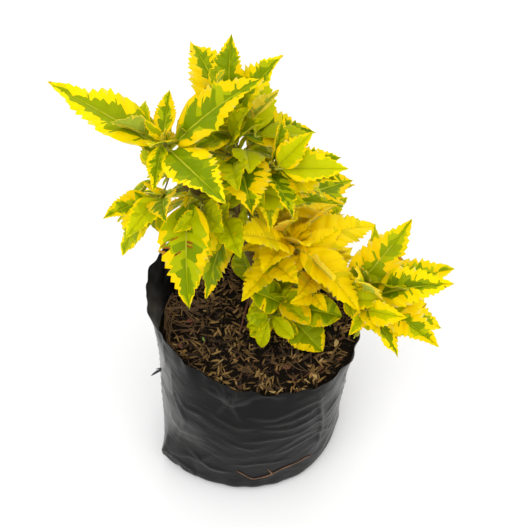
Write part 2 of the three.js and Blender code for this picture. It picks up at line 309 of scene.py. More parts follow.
@dataclass(frozen=True)
class GrowthRule:
    """The sizes by which leaves and twigs grow, those of the frame first.

    Attributes:
        stalk: The share of a leaf that is its stalk.
        edge: Half the width of a stalk.
        folds: How far a leaf's halves fold up, from the lowest pair to the highest.
        stray_turn: How far a leaf strays round its stem.
        stray_opening: How far its angle to the stem strays.
        stray_length: How far its length strays, as a share.
        stray_bend: How far its arch strays.
        leaf_room: How far a leaf stays off others.
        limb_room: How far it stays off limbs.
        film_room: How far it stays off the film.
        soil_room: How far it stays over the soil.
        turns: How much further round its stem a leaf is tried.
        probes: How many points a blade is felt at, along and across.
        probe_from: The share of a leaf at which they start.
        probe_free: The share up to which leaves of one shoot may touch.
        gap: The gap between a bough and its shoot's stem.
        bough_end: How far before the lowest pair a bough ends.
        stem_radii: A stem's radius at its foot and tip.
        spine_steps: In how many steps a limb is felt.
        twig_step: How far apart side twigs stand.
        twig_length: How long they are.
        twig_room: How far they stay off all else.
        twig_turns: How much further round their leaves are tried.
        twig_leaves: The lengths tried for their leaves.
        roll_room: How far a rolled leaf stays off others.
    """

    stalk: float = 0.1
    edge: float = 0.4
    folds: Pair = (14, 24)
    stray_turn: float = 50
    stray_opening: float = 36
    stray_length: float = 0.36
    stray_bend: float = 30
    leaf_room: float = 4
    limb_room: float = 1.6
    film_room: float = 3
    soil_room: float = 3
    turns: tuple[int, ...] = (0, 8, -8, 16, -16, 24, -24, 32, -32, 44, -44, 58, -58)
    probes: tuple[int, int] = (9, 5)
    probe_from: float = 0.2
    probe_free: float = 0.35
    gap: float = 0.3
    bough_end: float = 0.12
    stem_radii: Pair = (1.4, 0.8)
    spine_steps: int = 24
    twig_step: float = 6.5
    twig_length: Pair = (9, 19)
    twig_room: float = 2.1
    twig_turns: tuple[int, ...] = (0, 25, -25, 50, -50, 80, -80)
    twig_leaves: tuple[int, ...] = (42, 34, 27, 21)
    roll_room: float = 2.5


RULE = GrowthRule()


@dataclass
class Leaf:
    """One leaf, by where it starts, how it runs and faces, and its sizes."""

    owner: str
    base: Array
    along: Array
    face: Array
    length: float
    bend: float
    fold: float
    width: float
    green: float = 0.5
    seed: int = 1
    name: str = ""
    toothed: float = 1.0

    @property
    def golden(self) -> bool:
        """Whether it has no green."""
        return self.green <= 0.02

    def swollen(self, share: Array, early: float, blunt: float) -> Array:
        """Half the width of a blade that swells and closes again.

        Args:
            share: The share of its length at each place.
            early: How early it is widest, below 1 in its lower half.
            blunt: How blunt its ends are, blunter the lower.

        Returns:
            The distance from rib to margin at each place.
        """
        blade = np.clip((share - RULE.stalk) / (1 - RULE.stalk), 0, 1)
        swell = np.maximum(np.sin(np.pi * blade**early), 0.0) ** blunt
        return 0.5 * self.width * self.length * swell + RULE.edge

    def half_width(self, share: Array) -> Array:
        """Half its width by the rule, at shares of its length."""
        return self.swollen(share, 0.72, 1.15)

    def outline(self, share: Array) -> Array:
        """Half its width as it shows: a leaf with low teeth is blunt and widest past its middle."""
        return self.half_width(share) if self.toothed > 0.5 else self.swollen(share, 1.12, 0.78)

    def frame_at(self, share: Array) -> tuple[Array, Array]:
        """Points of its rib, and the way its face looks at each.

        Args:
            share: The share of its length at each place.

        Returns:
            The points, and the directions of its face.
        """
        bend = max(abs(self.bend), 1e-4)
        turned = (bend * np.asarray(share))[:, None]
        rib = self.base + self.along * (self.length * np.sin(turned) / bend)
        rib = rib - self.face * (self.length * (1 - np.cos(turned)) / bend)
        return rib, self.face * np.cos(turned) + self.along * np.sin(turned)

    def surface(self, share: Array, lateral: Array, raised: Array) -> Array:
        """Points of its blade.

        Args:
            share: The share along the rib of each point.
            lateral: The distance to the side of the rib, negative on one side.
            raised: The height over the folded blade.

        Returns:
            One row for each point.
        """
        rib, normal = self.frame_at(share)
        side = np.cross(self.along, self.face)
        lift = np.abs(lateral) * math.sin(self.fold) + raised
        return rib + side * (lateral * math.cos(self.fold))[:, None] + normal * lift[:, None]

    def probes(self) -> tuple[Array, Array]:
        """Points spread over its blade, with the share of each.

        Returns:
            The points and the shares.
        """
        count, across = RULE.probes
        share = np.repeat(mix(RULE.probe_from, 1, np.arange(count) / (count - 1)), across)
        over = np.tile(-1 + 2 * np.arange(across) / (across - 1), count)
        return self.surface(share, over * self.half_width(share), np.zeros(len(share))), share


@dataclass(frozen=True)
class Ring:
    """An uneven ring round the bag's axis.

    Attributes:
        radius: Its middling radius.
        shift: How far it is pushed off the axis.
        towards: Where to, in degrees.
        oval: Half of how much longer than broad it is.
        along: Its long way, in degrees.
    """

    radius: float
    shift: float
    towards: float
    oval: float
    along: float

    def size(self, angle: Array) -> Array:
        """Its radius in a direction."""
        pushed = self.shift * np.cos(angle - math.radians(self.towards))
        return self.radius + pushed + self.oval * np.cos(2 * (angle - math.radians(self.along)))


@dataclass
class Pot:
    """The outline of the bag, its rim and its soil. A program fitted the foot to the photograph."""

    mouth: Ring = Ring(75.4, 3.6, 92, 3.4, -44)
    foot: Ring = Ring(70.2, 9.9, -82, 4.8, 72)
    corner: float = 12
    corner_towards: float = -137
    corner_spread: float = 20
    flare: float = 3.8
    rim: float = 112
    rim_tilt: float = 12
    rim_towards: float = 155
    soil_level: float = 98
    soil_relief: float = 1.8
    soil_calm: float = 16

    def rim_height(self, angle: Array) -> Array:
        """Height of the rim in a direction."""
        return self.rim + self.rim_tilt * np.cos(angle - math.radians(self.rim_towards))

    def wall(self, angle: Array, share: Array) -> Array:
        """Radius of the outer wall in a direction, from its foot (0) to its rim (1).

        Args:
            angle: The direction in radians.
            share: The share of the rim's height.

        Returns:
            The radius.
        """
        away = angle - math.radians(self.corner_towards)
        turn = np.arctan2(np.sin(away), np.cos(away))
        corner = self.corner * np.exp(-((turn / math.radians(self.corner_spread)) ** 2)) * (1 - share) ** 3
        return mix(self.foot.size(angle) + corner, self.mouth.size(angle), share**self.flare)

    def soil(self, x: Array, y: Array) -> Array:
        """Height of the soil.

        Args:
            x: The place to the right.
            y: The place away from the camera.

        Returns:
            The height.
        """
        trunk = TRUNK.route[0]
        away = np.hypot(x - trunk[0], y - trunk[1]) / self.soil_calm
        waves = np.sin(x / 11 + 1) * np.cos(y / 13) + 0.5 * np.sin((x + y) / 7)
        return self.soil_level - (1 - np.exp(-(away**4))) * self.soil_relief * (0.8 + 0.5 * waves)

    def clear(self, points: Array, film: float, soil: float) -> bool:
        """Whether all points are clear of the wall and the soil.

        Args:
            points: The points.
            film: The room that the film needs.
            soil: The room over the soil.

        Returns:
            Whether all of them are clear.
        """
        angle = np.arctan2(points[:, 1], points[:, 0])
        radius = np.hypot(points[:, 0], points[:, 1])
        rim = self.rim_height(angle)
        wall = self.wall(angle, np.minimum(1, points[:, 2] / rim))
        touching = (points[:, 2] < rim + film) & (np.abs(radius - wall) < film)
        sunk = (radius <= wall) & (points[:, 2] <= self.soil_level + soil)
        return not bool(np.any(touching | sunk))


# The plant
TRUNK = Limb(
    "trunk",
    [(1, 15, 98.3), (4.2, 11.6, 110), (3.2, 9.4, 132), (-6.5, 7, 168), (-11, 6, 196), (-7.8, 6, 223)],
    (4.4, 1.9),
    flare=(2.6, 5),
    level=True,
)
BOUGHS = {
    "left_bough": ([(-11.3, 6, 190), (-25, 1.2, 208)], (2.4, 1.7), "left"),
    "middle_bough": ([(4.2, 11.6, 110)], (2.5, 1.7), "middle"),
    "right_bough": ([(4.2, 11.6, 109), (14, 6.8, 112.4)], (2.9, 1.8), "far_right"),
}
# Each habit of a shoot, in the order of its class. The habits and seeds weren't set by hand:
# a search program picked them, by how near the leaves came to those of the photograph.
SHOOTS = {
    "left": Shoot(
        (-39.2, -4, 222.3), (-49.2, -16, 265.8), 0.8, -180, 120,
        (50, 80), (85, 35), (20, 5), 0.42, 1.5, (1315, 991, 329), (0.5, 0.5),
    ),
    "top": Shoot(
        (-7.8, 6, 223.2), (-13.6, 16, 265.2), 0.4, 100, 105,
        (100, 20), (75, 35), (20, 35), 0.46, 2.2, (1935, 2618, 3256, 494), (0.52, 0.6),
    ),
    "upper_right": Shoot(
        (-9, 6, 215), (10.7, -2, 238.1), 0.5, -70, 105,
        (60, 50), (45, 40), (50, 20), 0.42, 0.6, (3990, 2808, 953), (0.8, 0.45),
    ),
    "middle": Shoot(
        (5.3, 10, 113.8), (26.8, -4, 177.2), 0.9, -135, 65,
        (50, 80), (70, 45), (35, 35), 0.46, 0.6, (403, 68, 3026), (0, 0), leafy=0.6,
    ),
    "far_right": Shoot(
        (26.1, 0, 120.8), (74.7, -26, 149.1), 0.7, -60, 115,
        (50, 35), (65, 55), (50, 35), 0.42, 2.2, (3878, 2652, 1987, 2635), (0.5, 0.55),
    ),
    "lower_left": Shoot(
        (-39.2, -4, 222.3), (-56.3, -16, 225.6), 0.7, -135, 70,
        (50, 20), (45, 30), (50, 35), 0.46, 2.2, (2705, 2594), (0.55, 0.5), toothed=0.8,
    ),
    "hanging": Shoot(
        (-11.5, 6, 192.3), (-36.7, -18, 229.6), 0.1, -140, 70,
        (90, 80), (55, 60), (20, 50), 0.42, 2.2, (2661, 3521), (0.85, 0.6),
    ),
    "basal_left": Shoot(
        (1.6, 14.3, 101), (4, 18, 116), 0.3, 135, 110,
        (90, 65), (40, 40), (5, 35), 0.54, 2.2, (98, 3789), (1.0, 1.0), toothed=0.2,
    ),
    "basal_right": Shoot(
        (9.6, 8.6, 110.6), (18.7, -14, 128.4), 0.5, -70, 60,
        (60, 50), (50, 35), (5, 35), 0.6, 0.6, (3240, 2989), (0.92, 0.9), toothed=0.3,
    ),
    "lower_middle": Shoot(
        (15.2, 6, 112.9), (43.7, -4, 149.3), 0.7, 140, 70,
        (70, 50), (50, 35), (35, 20), 0.42, 0.6, (2142, 428, 3877), (0, 0), leafy=0.6,
    ),
    "inner_left": Shoot(
        (-43.5, -7.3, 238.9), (-61.3, 12, 219.1), 0.4, -145, 70,
        (80, 50), (40, 45), (5, 5), 0.5, 2.2, (2340, 1090), (0.85, 0.7),
    ),
    "right": Shoot(
        (-3, 8, 155), (5, 10, 197.2), 0.9, 50, 110,
        (90, 65), (75, 50), (20, 5), 0.5, 0.6, (2635, 278), (0.8, 0.55),
    ),
    "back_left": Shoot(
        (-11, 6.5, 180), (-34, 56, 182), 0.5, -170, 110,
        (50, 50), (55, 50), (5, 20), 0.5, 2.2, (1519, 1121, 3853), (0.6, 0.5),
    ),
    "back_middle": Shoot(
        (-4, 7.6, 160), (0, 66, 168), 0.5, 130, 95,
        (50, 35), (45, 50), (20, 20), 0.46, 2.2, (3135, 2906, 1597), (0.55, 0.5),
    ),
    "back_right": Shoot(
        (3.6, 10, 128), (36, 50, 158), 0.9, 70, 95,
        (50, 35), (50, 50), (35, 5), 0.46, 2.2, (494, 559, 2042), (0.55, 0.5),
    ),
}
# How far the green reaches on leaves that the photograph shows well
GREENS = {
    "left_0a": 0.34, "left_0b": 0.52, "left_1a": 0.9, "left_1b": 0.75, "top_2b": 0.4, "top_3a": 0.8,
    "top_2a": 0.45, "hanging_1a": 0.78, "right_0a": 0.9, "far_right_1a": 0.7, "far_right_2b": 0.3,
    "far_right_3a": 0.7, "far_right_3b": 0.62, "lower_left_0a": 0.6, "lower_left_1b": 0.62,
    "basal_right_0a": 0.62,
}
# How many degrees such leaves are turned about their ribs, and how much broader they are
LIES = {
    "top_2a": (35, 1.25), "top_2b": (0, 1.3), "top_3a": (0, 1.25), "top_1b": (25, 1.15), "top_0b": (0, 1.1),
    "left_0b": (15, 1.0), "upper_right_1a": (25, 1.0), "upper_right_2b": (30, 1.0),
    "far_right_3a": (30, 1.1), "far_right_3b": (20, 1.15), "far_right_2b": (15, 1.1), "right_0a": (15, 1.15),
    "hanging_1a": (0, 1.08), "far_right_1b": (0, 1.15),
}


@dataclass
class Growth:
    """Grows the limbs and leaves by the rule that made the frame.

    Attributes:
        pot: The bag that they stay off.
        view: The photograph's view.
        limbs: The limbs by name.
        spines: Points and radii along each limb.
        placed: The leaves that found room, with points of each blade and their shares.
        boxes: The box that each shoot's own leaves fill.
    """

    pot: Pot
    view: View
    limbs: dict[str, Limb] = field(init=False)
    spines: dict[str, tuple[Array, Array]] = field(init=False)
    placed: list[tuple[Leaf, Array, Array]] = field(init=False, default_factory=list)
    boxes: dict[str, tuple[Array, Array]] = field(init=False)

    def __post_init__(self) -> None:
        """Grows the frame's limbs and leaves at once."""
        self.limbs = self.grow_limbs()
        self.spines = {name: limb.spine(RULE.spine_steps) for name, limb in self.limbs.items()}
        for name, shoot in SHOOTS.items():
            self.grow_pairs(name, shoot)
        self.roll_leaves()
        self.boxes = {name: self.box_of(name) for name in SHOOTS}

    def roll_leaves(self) -> None:
        """Rolls and widens some leaves where there is room, as in the photograph."""
        for number, (leaf, probes, shares) in enumerate(list(self.placed)):
            if leaf.name not in LIES:
                continue
            turn, breadth = LIES[leaf.name]
            angle, side = math.radians(turn), np.cross(leaf.along, leaf.face)
            face = leaf.face * math.cos(angle) + side * math.sin(angle)
            rolled = replace(leaf, face=face, width=leaf.width * breadth)
            turned = (rolled, *rolled.probes())
            del self.placed[number]
            fits = self.has_room(*turned, RULE.roll_room)
            self.placed.insert(number, turned if fits else (leaf, probes, shares))

    def box_of(self, name: str) -> tuple[Array, Array]:
        """The box that a shoot's own leaves fill."""
        points = np.concatenate([probes for leaf, probes, _ in self.placed if leaf.owner == name])
        return points.min(axis=0) - 1, points.max(axis=0) + 1

    def grow_limbs(self) -> dict[str, Limb]:
        """The trunk, the boughs and each shoot's stem.

        Returns:
            The limbs by name.
        """
        limbs = {"trunk": TRUNK}
        for name, (route, radii, carried) in BOUGHS.items():
            shoot = SHOOTS[carried]
            end = tuple(shoot.stem(shoot.start - RULE.bough_end))
            limbs[name] = Limb(name, [*route, shoot.foot, end], radii)
        carried_names = [carried for _, _, carried in BOUGHS.values()]
        for name, shoot in SHOOTS.items():
            start = shoot.start - RULE.bough_end + RULE.gap / shoot.reach if name in carried_names else 0.0
            route = [tuple(shoot.stem(share)) for share in (start, (start + 1) / 2, 1)]
            limbs[name] = Limb(name, route, RULE.stem_radii)
        return limbs

    def leaf_of(
        self, name: str, shoot: Shoot, pair: int, side: int, stray: Sequence[float], turn: float
    ) -> Leaf:
        """One leaf of a pair, before its room is looked for.

        Args:
            name: The shoot's name.
            shoot: The shoot that carries it.
            pair: The pair's number from the lowest.
            side: Which leaf of the pair it is, 0 or 1.
            stray: Four numbers by which it strays from the habit.
            turn: How many degrees further round it is tried.

        Returns:
            The leaf.
        """
        rank, label = shoot.rank(pair), f"{name}_{pair}{'ab'[side]}"
        habit = shoot.turn + shoot.step * pair + 180 * side
        around = math.radians(habit + RULE.stray_turn * stray[0] + turn)
        opening = math.radians(mix(*shoot.opening, rank) + RULE.stray_opening * stray[1])
        _, along, face = spread(shoot.axis, around, opening, shoot.light)
        return Leaf(
            owner=name,
            base=shoot.stem(shoot.share(pair)),
            along=along,
            face=face,
            length=mix(*shoot.length, rank) * (1 + RULE.stray_length * stray[2]),
            bend=math.radians(mix(*shoot.bend, rank) + RULE.stray_bend * stray[3]),
            fold=math.radians(mix(*RULE.folds, rank)),
            width=shoot.width,
            green=GREENS.get(label, mix(*shoot.green, rank)),
            seed=shoot.seeds[pair] * 2 + side,
            name=label,
            toothed=shoot.toothed,
        )

    def has_room(self, leaf: Leaf, probes: Array, shares: Array, near: float) -> bool:
        """Whether a leaf is off the pot, the limbs and every leaf placed so far.

        Args:
            leaf: The leaf.
            probes: Points of its blade.
            shares: The share of each point.
            near: How far it stays off other leaves.

        Returns:
            Whether it has room.
        """
        if not self.pot.clear(probes, RULE.film_room, RULE.soil_room):
            return False
        for owner, (spine, radii) in self.spines.items():
            if owner == leaf.owner:
                continue
            gap = np.linalg.norm(probes[:, None] - spine[None], axis=2) - radii[None]
            if np.any(gap < RULE.limb_room):
                return False
        for other, points, at in self.placed:
            if np.linalg.norm(other.base - leaf.base) > 1.1 * (other.length + leaf.length) + near:
                continue
            own = other.owner == leaf.owner
            mine = probes[shares >= RULE.probe_free] if own else probes
            theirs = points[at >= RULE.probe_free] if own else points
            if np.any(np.linalg.norm(mine[:, None] - theirs[None], axis=2) < near):
                return False
        return True

    def grow_pairs(self, name: str, shoot: Shoot) -> None:
        """Places a shoot's leaves, each turned until it has room or else left out.

        Args:
            name: The shoot's name.
            shoot: The shoot.
        """
        for pair, seed in enumerate(shoot.seeds):
            stream = Seeded(seed)
            for side in (0, 1):
                stray = [stream.draw() for _ in range(4)]
                for turn in RULE.turns:
                    leaf = self.leaf_of(name, shoot, pair, side, stray, turn)
                    probes, shares = leaf.probes()
                    if self.has_room(leaf, probes, shares, RULE.leaf_room):
                        self.placed.append((leaf, probes, shares))
                        break

    def side_shoot(self, name: str, shoot: Shoot, number: int, stream: Seeded) -> tuple[Shoot, list[Leaf]]:
        """A short twig off a shoot's stem, with two pairs of small leaves.

        Args:
            name: The shoot's name.
            shoot: The shoot.
            number: The twig's number along the stem.
            stream: The numbers by which it strays.

        Returns:
            The twig as a small shoot, and its leaves that found room.
        """
        share = shoot.leafy + RULE.twig_step * (number // 2) / shoot.reach
        around = math.radians(shoot.turn + 90 * (number // 2) + 180 * (number % 2) + stream.between(-40, 40))
        out, along, _ = spread(shoot.axis, around, math.radians(stream.between(38, 66)))
        foot = shoot.stem(min(share, 0.94))
        tip = foot + along * stream.between(*RULE.twig_length)
        size = stream.between(0.85, 1.1)
        seeds = tuple(int(stream.between(1, 4000)) for _ in range(2))
        green = min(1.0, shoot.green[0] * 1.9) if stream.draw() > -0.25 else shoot.green[0] * 0.8
        twig = Shoot(tuple(foot), tuple(tip), 0.45, 45, 90, (70, 35), (1, 1), (28, 18), 0.5, 1.2, seeds,
                     (green, green), toothed=shoot.toothed)
        points = np.array([twig.stem(rank) for rank in (0.3, 0.5, 0.7, 0.9, 1.0)])
        body = Leaf(name, foot, along, out, 1.0, 0.0, 0.0, 0.4)
        if self.view.open_to_sky(points) or not self.has_room(body, points, np.ones(5), RULE.twig_room):
            return twig, []
        found = []
        for pair, seed in enumerate(seeds):
            strays = Seeded(seed)
            for side in (0, 1):
                stray = [strays.draw() for _ in range(4)]
                for length, turn in product(RULE.twig_leaves, RULE.twig_turns):
                    grown = replace(twig, length=(length * size, 0.85 * length * size))
                    leaf = self.leaf_of(name, grown, pair, side, stray, turn)
                    probes, shares = leaf.probes()
                    inside = np.all(probes > self.boxes[name][0]) and np.all(probes < self.boxes[name][1])
                    if not inside or self.view.open_to_sky(probes):
                        continue
                    if self.has_room(leaf, probes, shares, RULE.twig_room):
                        self.placed.append((leaf, probes, shares))
                        found.append(leaf)
                        break
        return twig, found

    def side_shoots(self, name: str) -> list[tuple[Shoot, list[Leaf]]]:
        """The side twigs of a shoot that carry at least one leaf.

        Args:
            name: The shoot's name.

        Returns:
            Each twig with its leaves.
        """
        shoot = SHOOTS[name]
        stream = Seeded(shoot.seeds[-1] + 5)
        count = 2 * int((0.96 - shoot.leafy) * shoot.reach / RULE.twig_step + 1)
        grown = [self.side_shoot(name, shoot, number, stream) for number in range(count)]
        return [(twig, leaves) for twig, leaves in grown if leaves]


# Finishes
class LeafTone(Enum):
    """The plain colours that leaves are dealt, upper side first."""

    GOLD = (244, 198, 0)
    BRIGHT = (250, 212, 0)
    LEMON = (216, 196, 0)
    SPRING = (186, 190, 0)
    LIME = (164, 172, 0)
    GREEN = (138, 152, 0)
    MOSS = (118, 138, 0)
    DEEP = (98, 120, 0)
    VEIN = (178, 184, 20)
    PALE_GOLD = (236, 204, 60)
    PALE_GREEN = (160, 176, 62)
    SCORCH = (150, 84, 22)


Face = tuple[int, ...]
Mesh = tuple[Array, list[Face]]
Bite = tuple[int, int, int, int]
TONES = list(LeafTone)
# The attribute that marks where the film is paler: dust and rub, with painted sheen at its sides and painted
# highlights on its crests
WEAR_AND_SHEEN = "worn"
# Edges of joined meshes sharper than this stay sharp, in degrees
SHARP = 55
# About how wide the bag is, for widths of folds
FILM_RADIUS = 76


class Nodes:
    """Puts shader nodes into a tree."""

    def __init__(self, tree: bpy.types.NodeTree) -> None:
        """Takes the tree in hand."""
        self.tree = tree

    def put(self, kind: str, values: dict[str, object] | None = None, **settings: object) -> bpy.types.Node:
        """Adds a node.

        Args:
            kind: Its type.
            values: What its named inputs are set to.
            settings: What its own properties are set to.

        Returns:
            The node.
        """
        made = self.tree.nodes.new(f"ShaderNode{kind}")
        for name, value in settings.items():
            setattr(made, name, value)
        for name, value in (values or {}).items():
            made.inputs[name].default_value = value
        return made

    def wire(self, *wires: tuple[bpy.types.Node, str, bpy.types.Node, str]) -> None:
        """Links nodes, by one's output and the other's input."""
        for source, output, target, entry in wires:
            self.tree.links.new(source.outputs[output], target.inputs[entry])


def dust() -> bpy.types.NodeTree:
    """A group of nodes for a mask of dust and scuffs.

    Returns:
        The group, which the first call makes.
    """
    name = "dust_mask"
    if name in bpy.data.node_groups:
        return bpy.data.node_groups[name]
    group = bpy.data.node_groups.new(name, "ShaderNodeTree")
    for label, kind in (("Vector", "Vector"), ("Scale", "Float"), ("From", "Float")):
        group.interface.new_socket(label, in_out="INPUT", socket_type=f"NodeSocket{kind}")
    group.interface.new_socket("Mask", in_out="OUTPUT", socket_type="NodeSocketFloat")
    entry, leave = group.nodes.new("NodeGroupInput"), group.nodes.new("NodeGroupOutput")
    nodes = Nodes(group)
    cloud = nodes.put("TexNoise", {"Detail": 6, "Roughness": 0.62})
    rise = nodes.put("MapRange", {"From Max": 0.8})
    nodes.wire((entry, "Vector", cloud, "Vector"), (entry, "Scale", cloud, "Scale"))
    nodes.wire((entry, "From", rise, "From Min"), (cloud, "Fac", rise, "Value"))
    nodes.wire((rise, "Result", leave, "Mask"))
    return group


@dataclass(frozen=True)
class Finish:
    """A finish with a plain or a mottled colour and a fine relief.

    Attributes:
        name: The material's name.
        color: Its colour as displayed.
        second: The colour of its patches, if any.
        patch: How many patches there are in a metre.
        patch_from: How far they are held back, from 0 to 1.
        rough: Its roughness.
        relief: The height of its relief in metres.
        grain: How many grains of relief there are in a metre.
        stretch: How the relief is stretched along each axis.
        sheen: How strong its soft coat is.
        depth: How much light passes into it.
        gloss: Its specular level.
        worn: Its paler colour where the film is dusty and rubbed and where sheen and highlights are painted,
            if any.
    """

    name: str
    color: tuple[int, int, int]
    second: tuple[int, int, int] | None = None
    patch: float = 60
    patch_from: float = 0.45
    rough: float = 0.5
    relief: float = 0.0
    grain: float = 900
    stretch: Point = (1, 1, 1)
    sheen: float = 0.0
    depth: float = 0.0
    gloss: float = 0.5
    worn: tuple[int, int, int] | None = None

    def material(self) -> bpy.types.Material:
        """The material, made on the first call.

        Returns:
            The material.
        """
        known = bpy.data.materials.get(self.name)
        if known:
            return known
        made = bpy.data.materials.new(self.name)
        made.use_nodes = True
        shader = made.node_tree.nodes["Principled BSDF"]
        values = {"Base Color": tone(*self.color), "Roughness": self.rough, "Specular IOR Level": self.gloss}
        if self.sheen:
            values |= {"Coat Weight": self.sheen, "Coat Roughness": 0.3}
        if self.depth:
            values |= {"Subsurface Weight": self.depth, "Subsurface Scale": 0.0012}
            values["Subsurface Radius"] = (1.0, 1.0, 0.15)
        for name, value in values.items():
            shader.inputs[name].default_value = value
        if not self.relief and not self.second:
            return made
        nodes = Nodes(made.node_tree)
        place, where = nodes.put("TexCoord"), nodes.put("Mapping", {"Scale": self.stretch})
        nodes.wire((place, "Object", where, "Vector"))
        if self.second:
            held = {"Scale": self.patch, "From": self.patch_from}
            mask = nodes.put("Group", held, node_tree=dust())
            tones = {"A": tone(*self.color), "B": tone(*self.second)}
            color = nodes.put("Mix", tones, data_type="RGBA")
            nodes.wire((where, "Vector", mask, "Vector"), (mask, "Mask", color, "Factor"))
            # Pales the colour by the attribute: dust and rub, with painted sheen and painted highlights
            if self.worn:
                marks = nodes.put("Attribute", attribute_name=WEAR_AND_SHEEN)
                rub_and_sheen = nodes.put("Mix", {"B": tone(*self.worn)}, data_type="RGBA")
                nodes.wire((marks, "Fac", rub_and_sheen, "Factor"), (color, "Result", rub_and_sheen, "A"))
                color = rub_and_sheen
            nodes.wire((color, "Result", shader, "Base Color"))
        if self.relief:
            grain = nodes.put("TexNoise", {"Scale": self.grain, "Detail": 4})
            bump = nodes.put("Bump", {"Distance": self.relief})
            nodes.wire((where, "Vector", grain, "Vector"), (grain, "Fac", bump, "Height"))
            nodes.wire((bump, "Normal", shader, "Normal"))
        return made


def leaf_finish(name: LeafTone) -> Finish:
    """The finish of a leaf in one of its tones, duller on its lower side."""
    dull = 0.55 if name in (LeafTone.PALE_GOLD, LeafTone.PALE_GREEN) else 0.45
    looks = {"rough": dull, "relief": 0.00014, "grain": 1300, "depth": 0.4, "gloss": 0.05}
    return Finish(f"leaf_{name.name.lower()}", name.value, **looks)


# Meshes
def filed(piece: bpy.types.Object, slot: str, *nodes: str) -> None:
    """Files a finished piece under the plant's body.

    Args:
        piece: The piece.
        slot: Not used.
        nodes: The frame's nodes that it takes the place of.
    """
    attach(piece, BODY)
    if nodes:
        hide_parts(*nodes)
    LOG.info("%s: %d faces", piece.name, len(piece.data.polygons))


@dataclass
class Heap:
    """Collects small meshes, in millimetres, and joins them into one piece."""

    name: str
    points: list[Array] = field(default_factory=list)
    faces: list[Face] = field(default_factory=list)
    tones: list[int] = field(default_factory=list)
    count: int = 0

    def add(self, points: Array, faces: Iterable[Sequence[int]], tones: Iterable[int] | int) -> None:
        """Adds a mesh.

        Args:
            points: Its vertices in millimetres.
            faces: Its faces, by vertex.
            tones: The material slot of each face, or of all of them.
        """
        start = self.count
        made = [tuple(start + v for v in face) for face in faces]
        self.points.append(np.asarray(points, float))
        self.faces.extend(made)
        self.tones.extend([tones] * len(made) if isinstance(tones, int) else tones)
        self.count += len(points)

    def build(self, materials: Sequence[bpy.types.Material], smooth: bool = True) -> bpy.types.Object:
        """Joins all that was added into one object, in metres.

        Args:
            materials: The materials that the slots stand for.
            smooth: Whether its faces are shaded smooth.

        Returns:
            The object.
        """
        mesh = bpy.data.meshes.new(self.name)
        used = sorted(set(self.tones))
        mesh.from_pydata((np.concatenate(self.points) * MM).tolist(), [], self.faces)
        for slot in used:
            mesh.materials.append(materials[slot])
        place = {slot: i for i, slot in enumerate(used)}
        mesh.polygons.foreach_set("material_index", [place[t] for t in self.tones])
        mesh.polygons.foreach_set("use_smooth", [smooth] * len(self.faces))
        if smooth:
            mesh.set_sharp_from_angle(angle=math.radians(SHARP))
        mesh.update()
        piece = bpy.data.objects.new(self.name, mesh)
        bpy.context.scene.collection.objects.link(piece)
        return piece


def ring_faces(rings: int, sides: int) -> list[Face]:
    """The faces between rings of vertices in order."""
    places = product(range(rings - 1), range(sides))
    corners = ((i * sides, (i + 1) * sides, j, (j + 1) % sides) for i, j in places)
    return [(low + j, low + k, high + k, high + j) for low, high, j, k in corners]


def tube(middle: Array, radii: Array, sides: int, square: float = 0.0) -> Mesh:
    """A closed tube along a line.

    Args:
        middle: The points of its middle.
        radii: Its radius at each point.
        sides: How many sides it has.
        square: How far its sections bulge at four corners.

    Returns:
        Its vertices and faces.
    """
    count = len(middle)
    heading = np.gradient(middle, axis=0)
    heading /= np.maximum(np.linalg.norm(heading, axis=1), 1e-9)[:, None]
    first = unit(np.cross(heading[0], UP if abs(heading[0][2]) < 0.9 else EAST))
    rings = []
    turn = np.arange(sides) * 2 * math.pi / sides
    swell = 1 + square * np.cos(4 * turn)
    for i in range(count):
        first = unit(first - heading[i] * (first @ heading[i]))
        second = np.cross(heading[i], first)
        ring = np.outer(np.cos(turn) * swell, first) + np.outer(np.sin(turn) * swell, second)
        rings.append(middle[i] + ring * radii[i])
    points = np.concatenate([*rings, middle[:1], middle[-1:]])
    faces = ring_faces(count, sides)
    low, high = count * sides, count * sides + 1
    for j in range(sides):
        k = (j + 1) % sides
        faces.append((low, k, j))
        faces.append((high, (count - 1) * sides + j, (count - 1) * sides + k))
    return points, faces


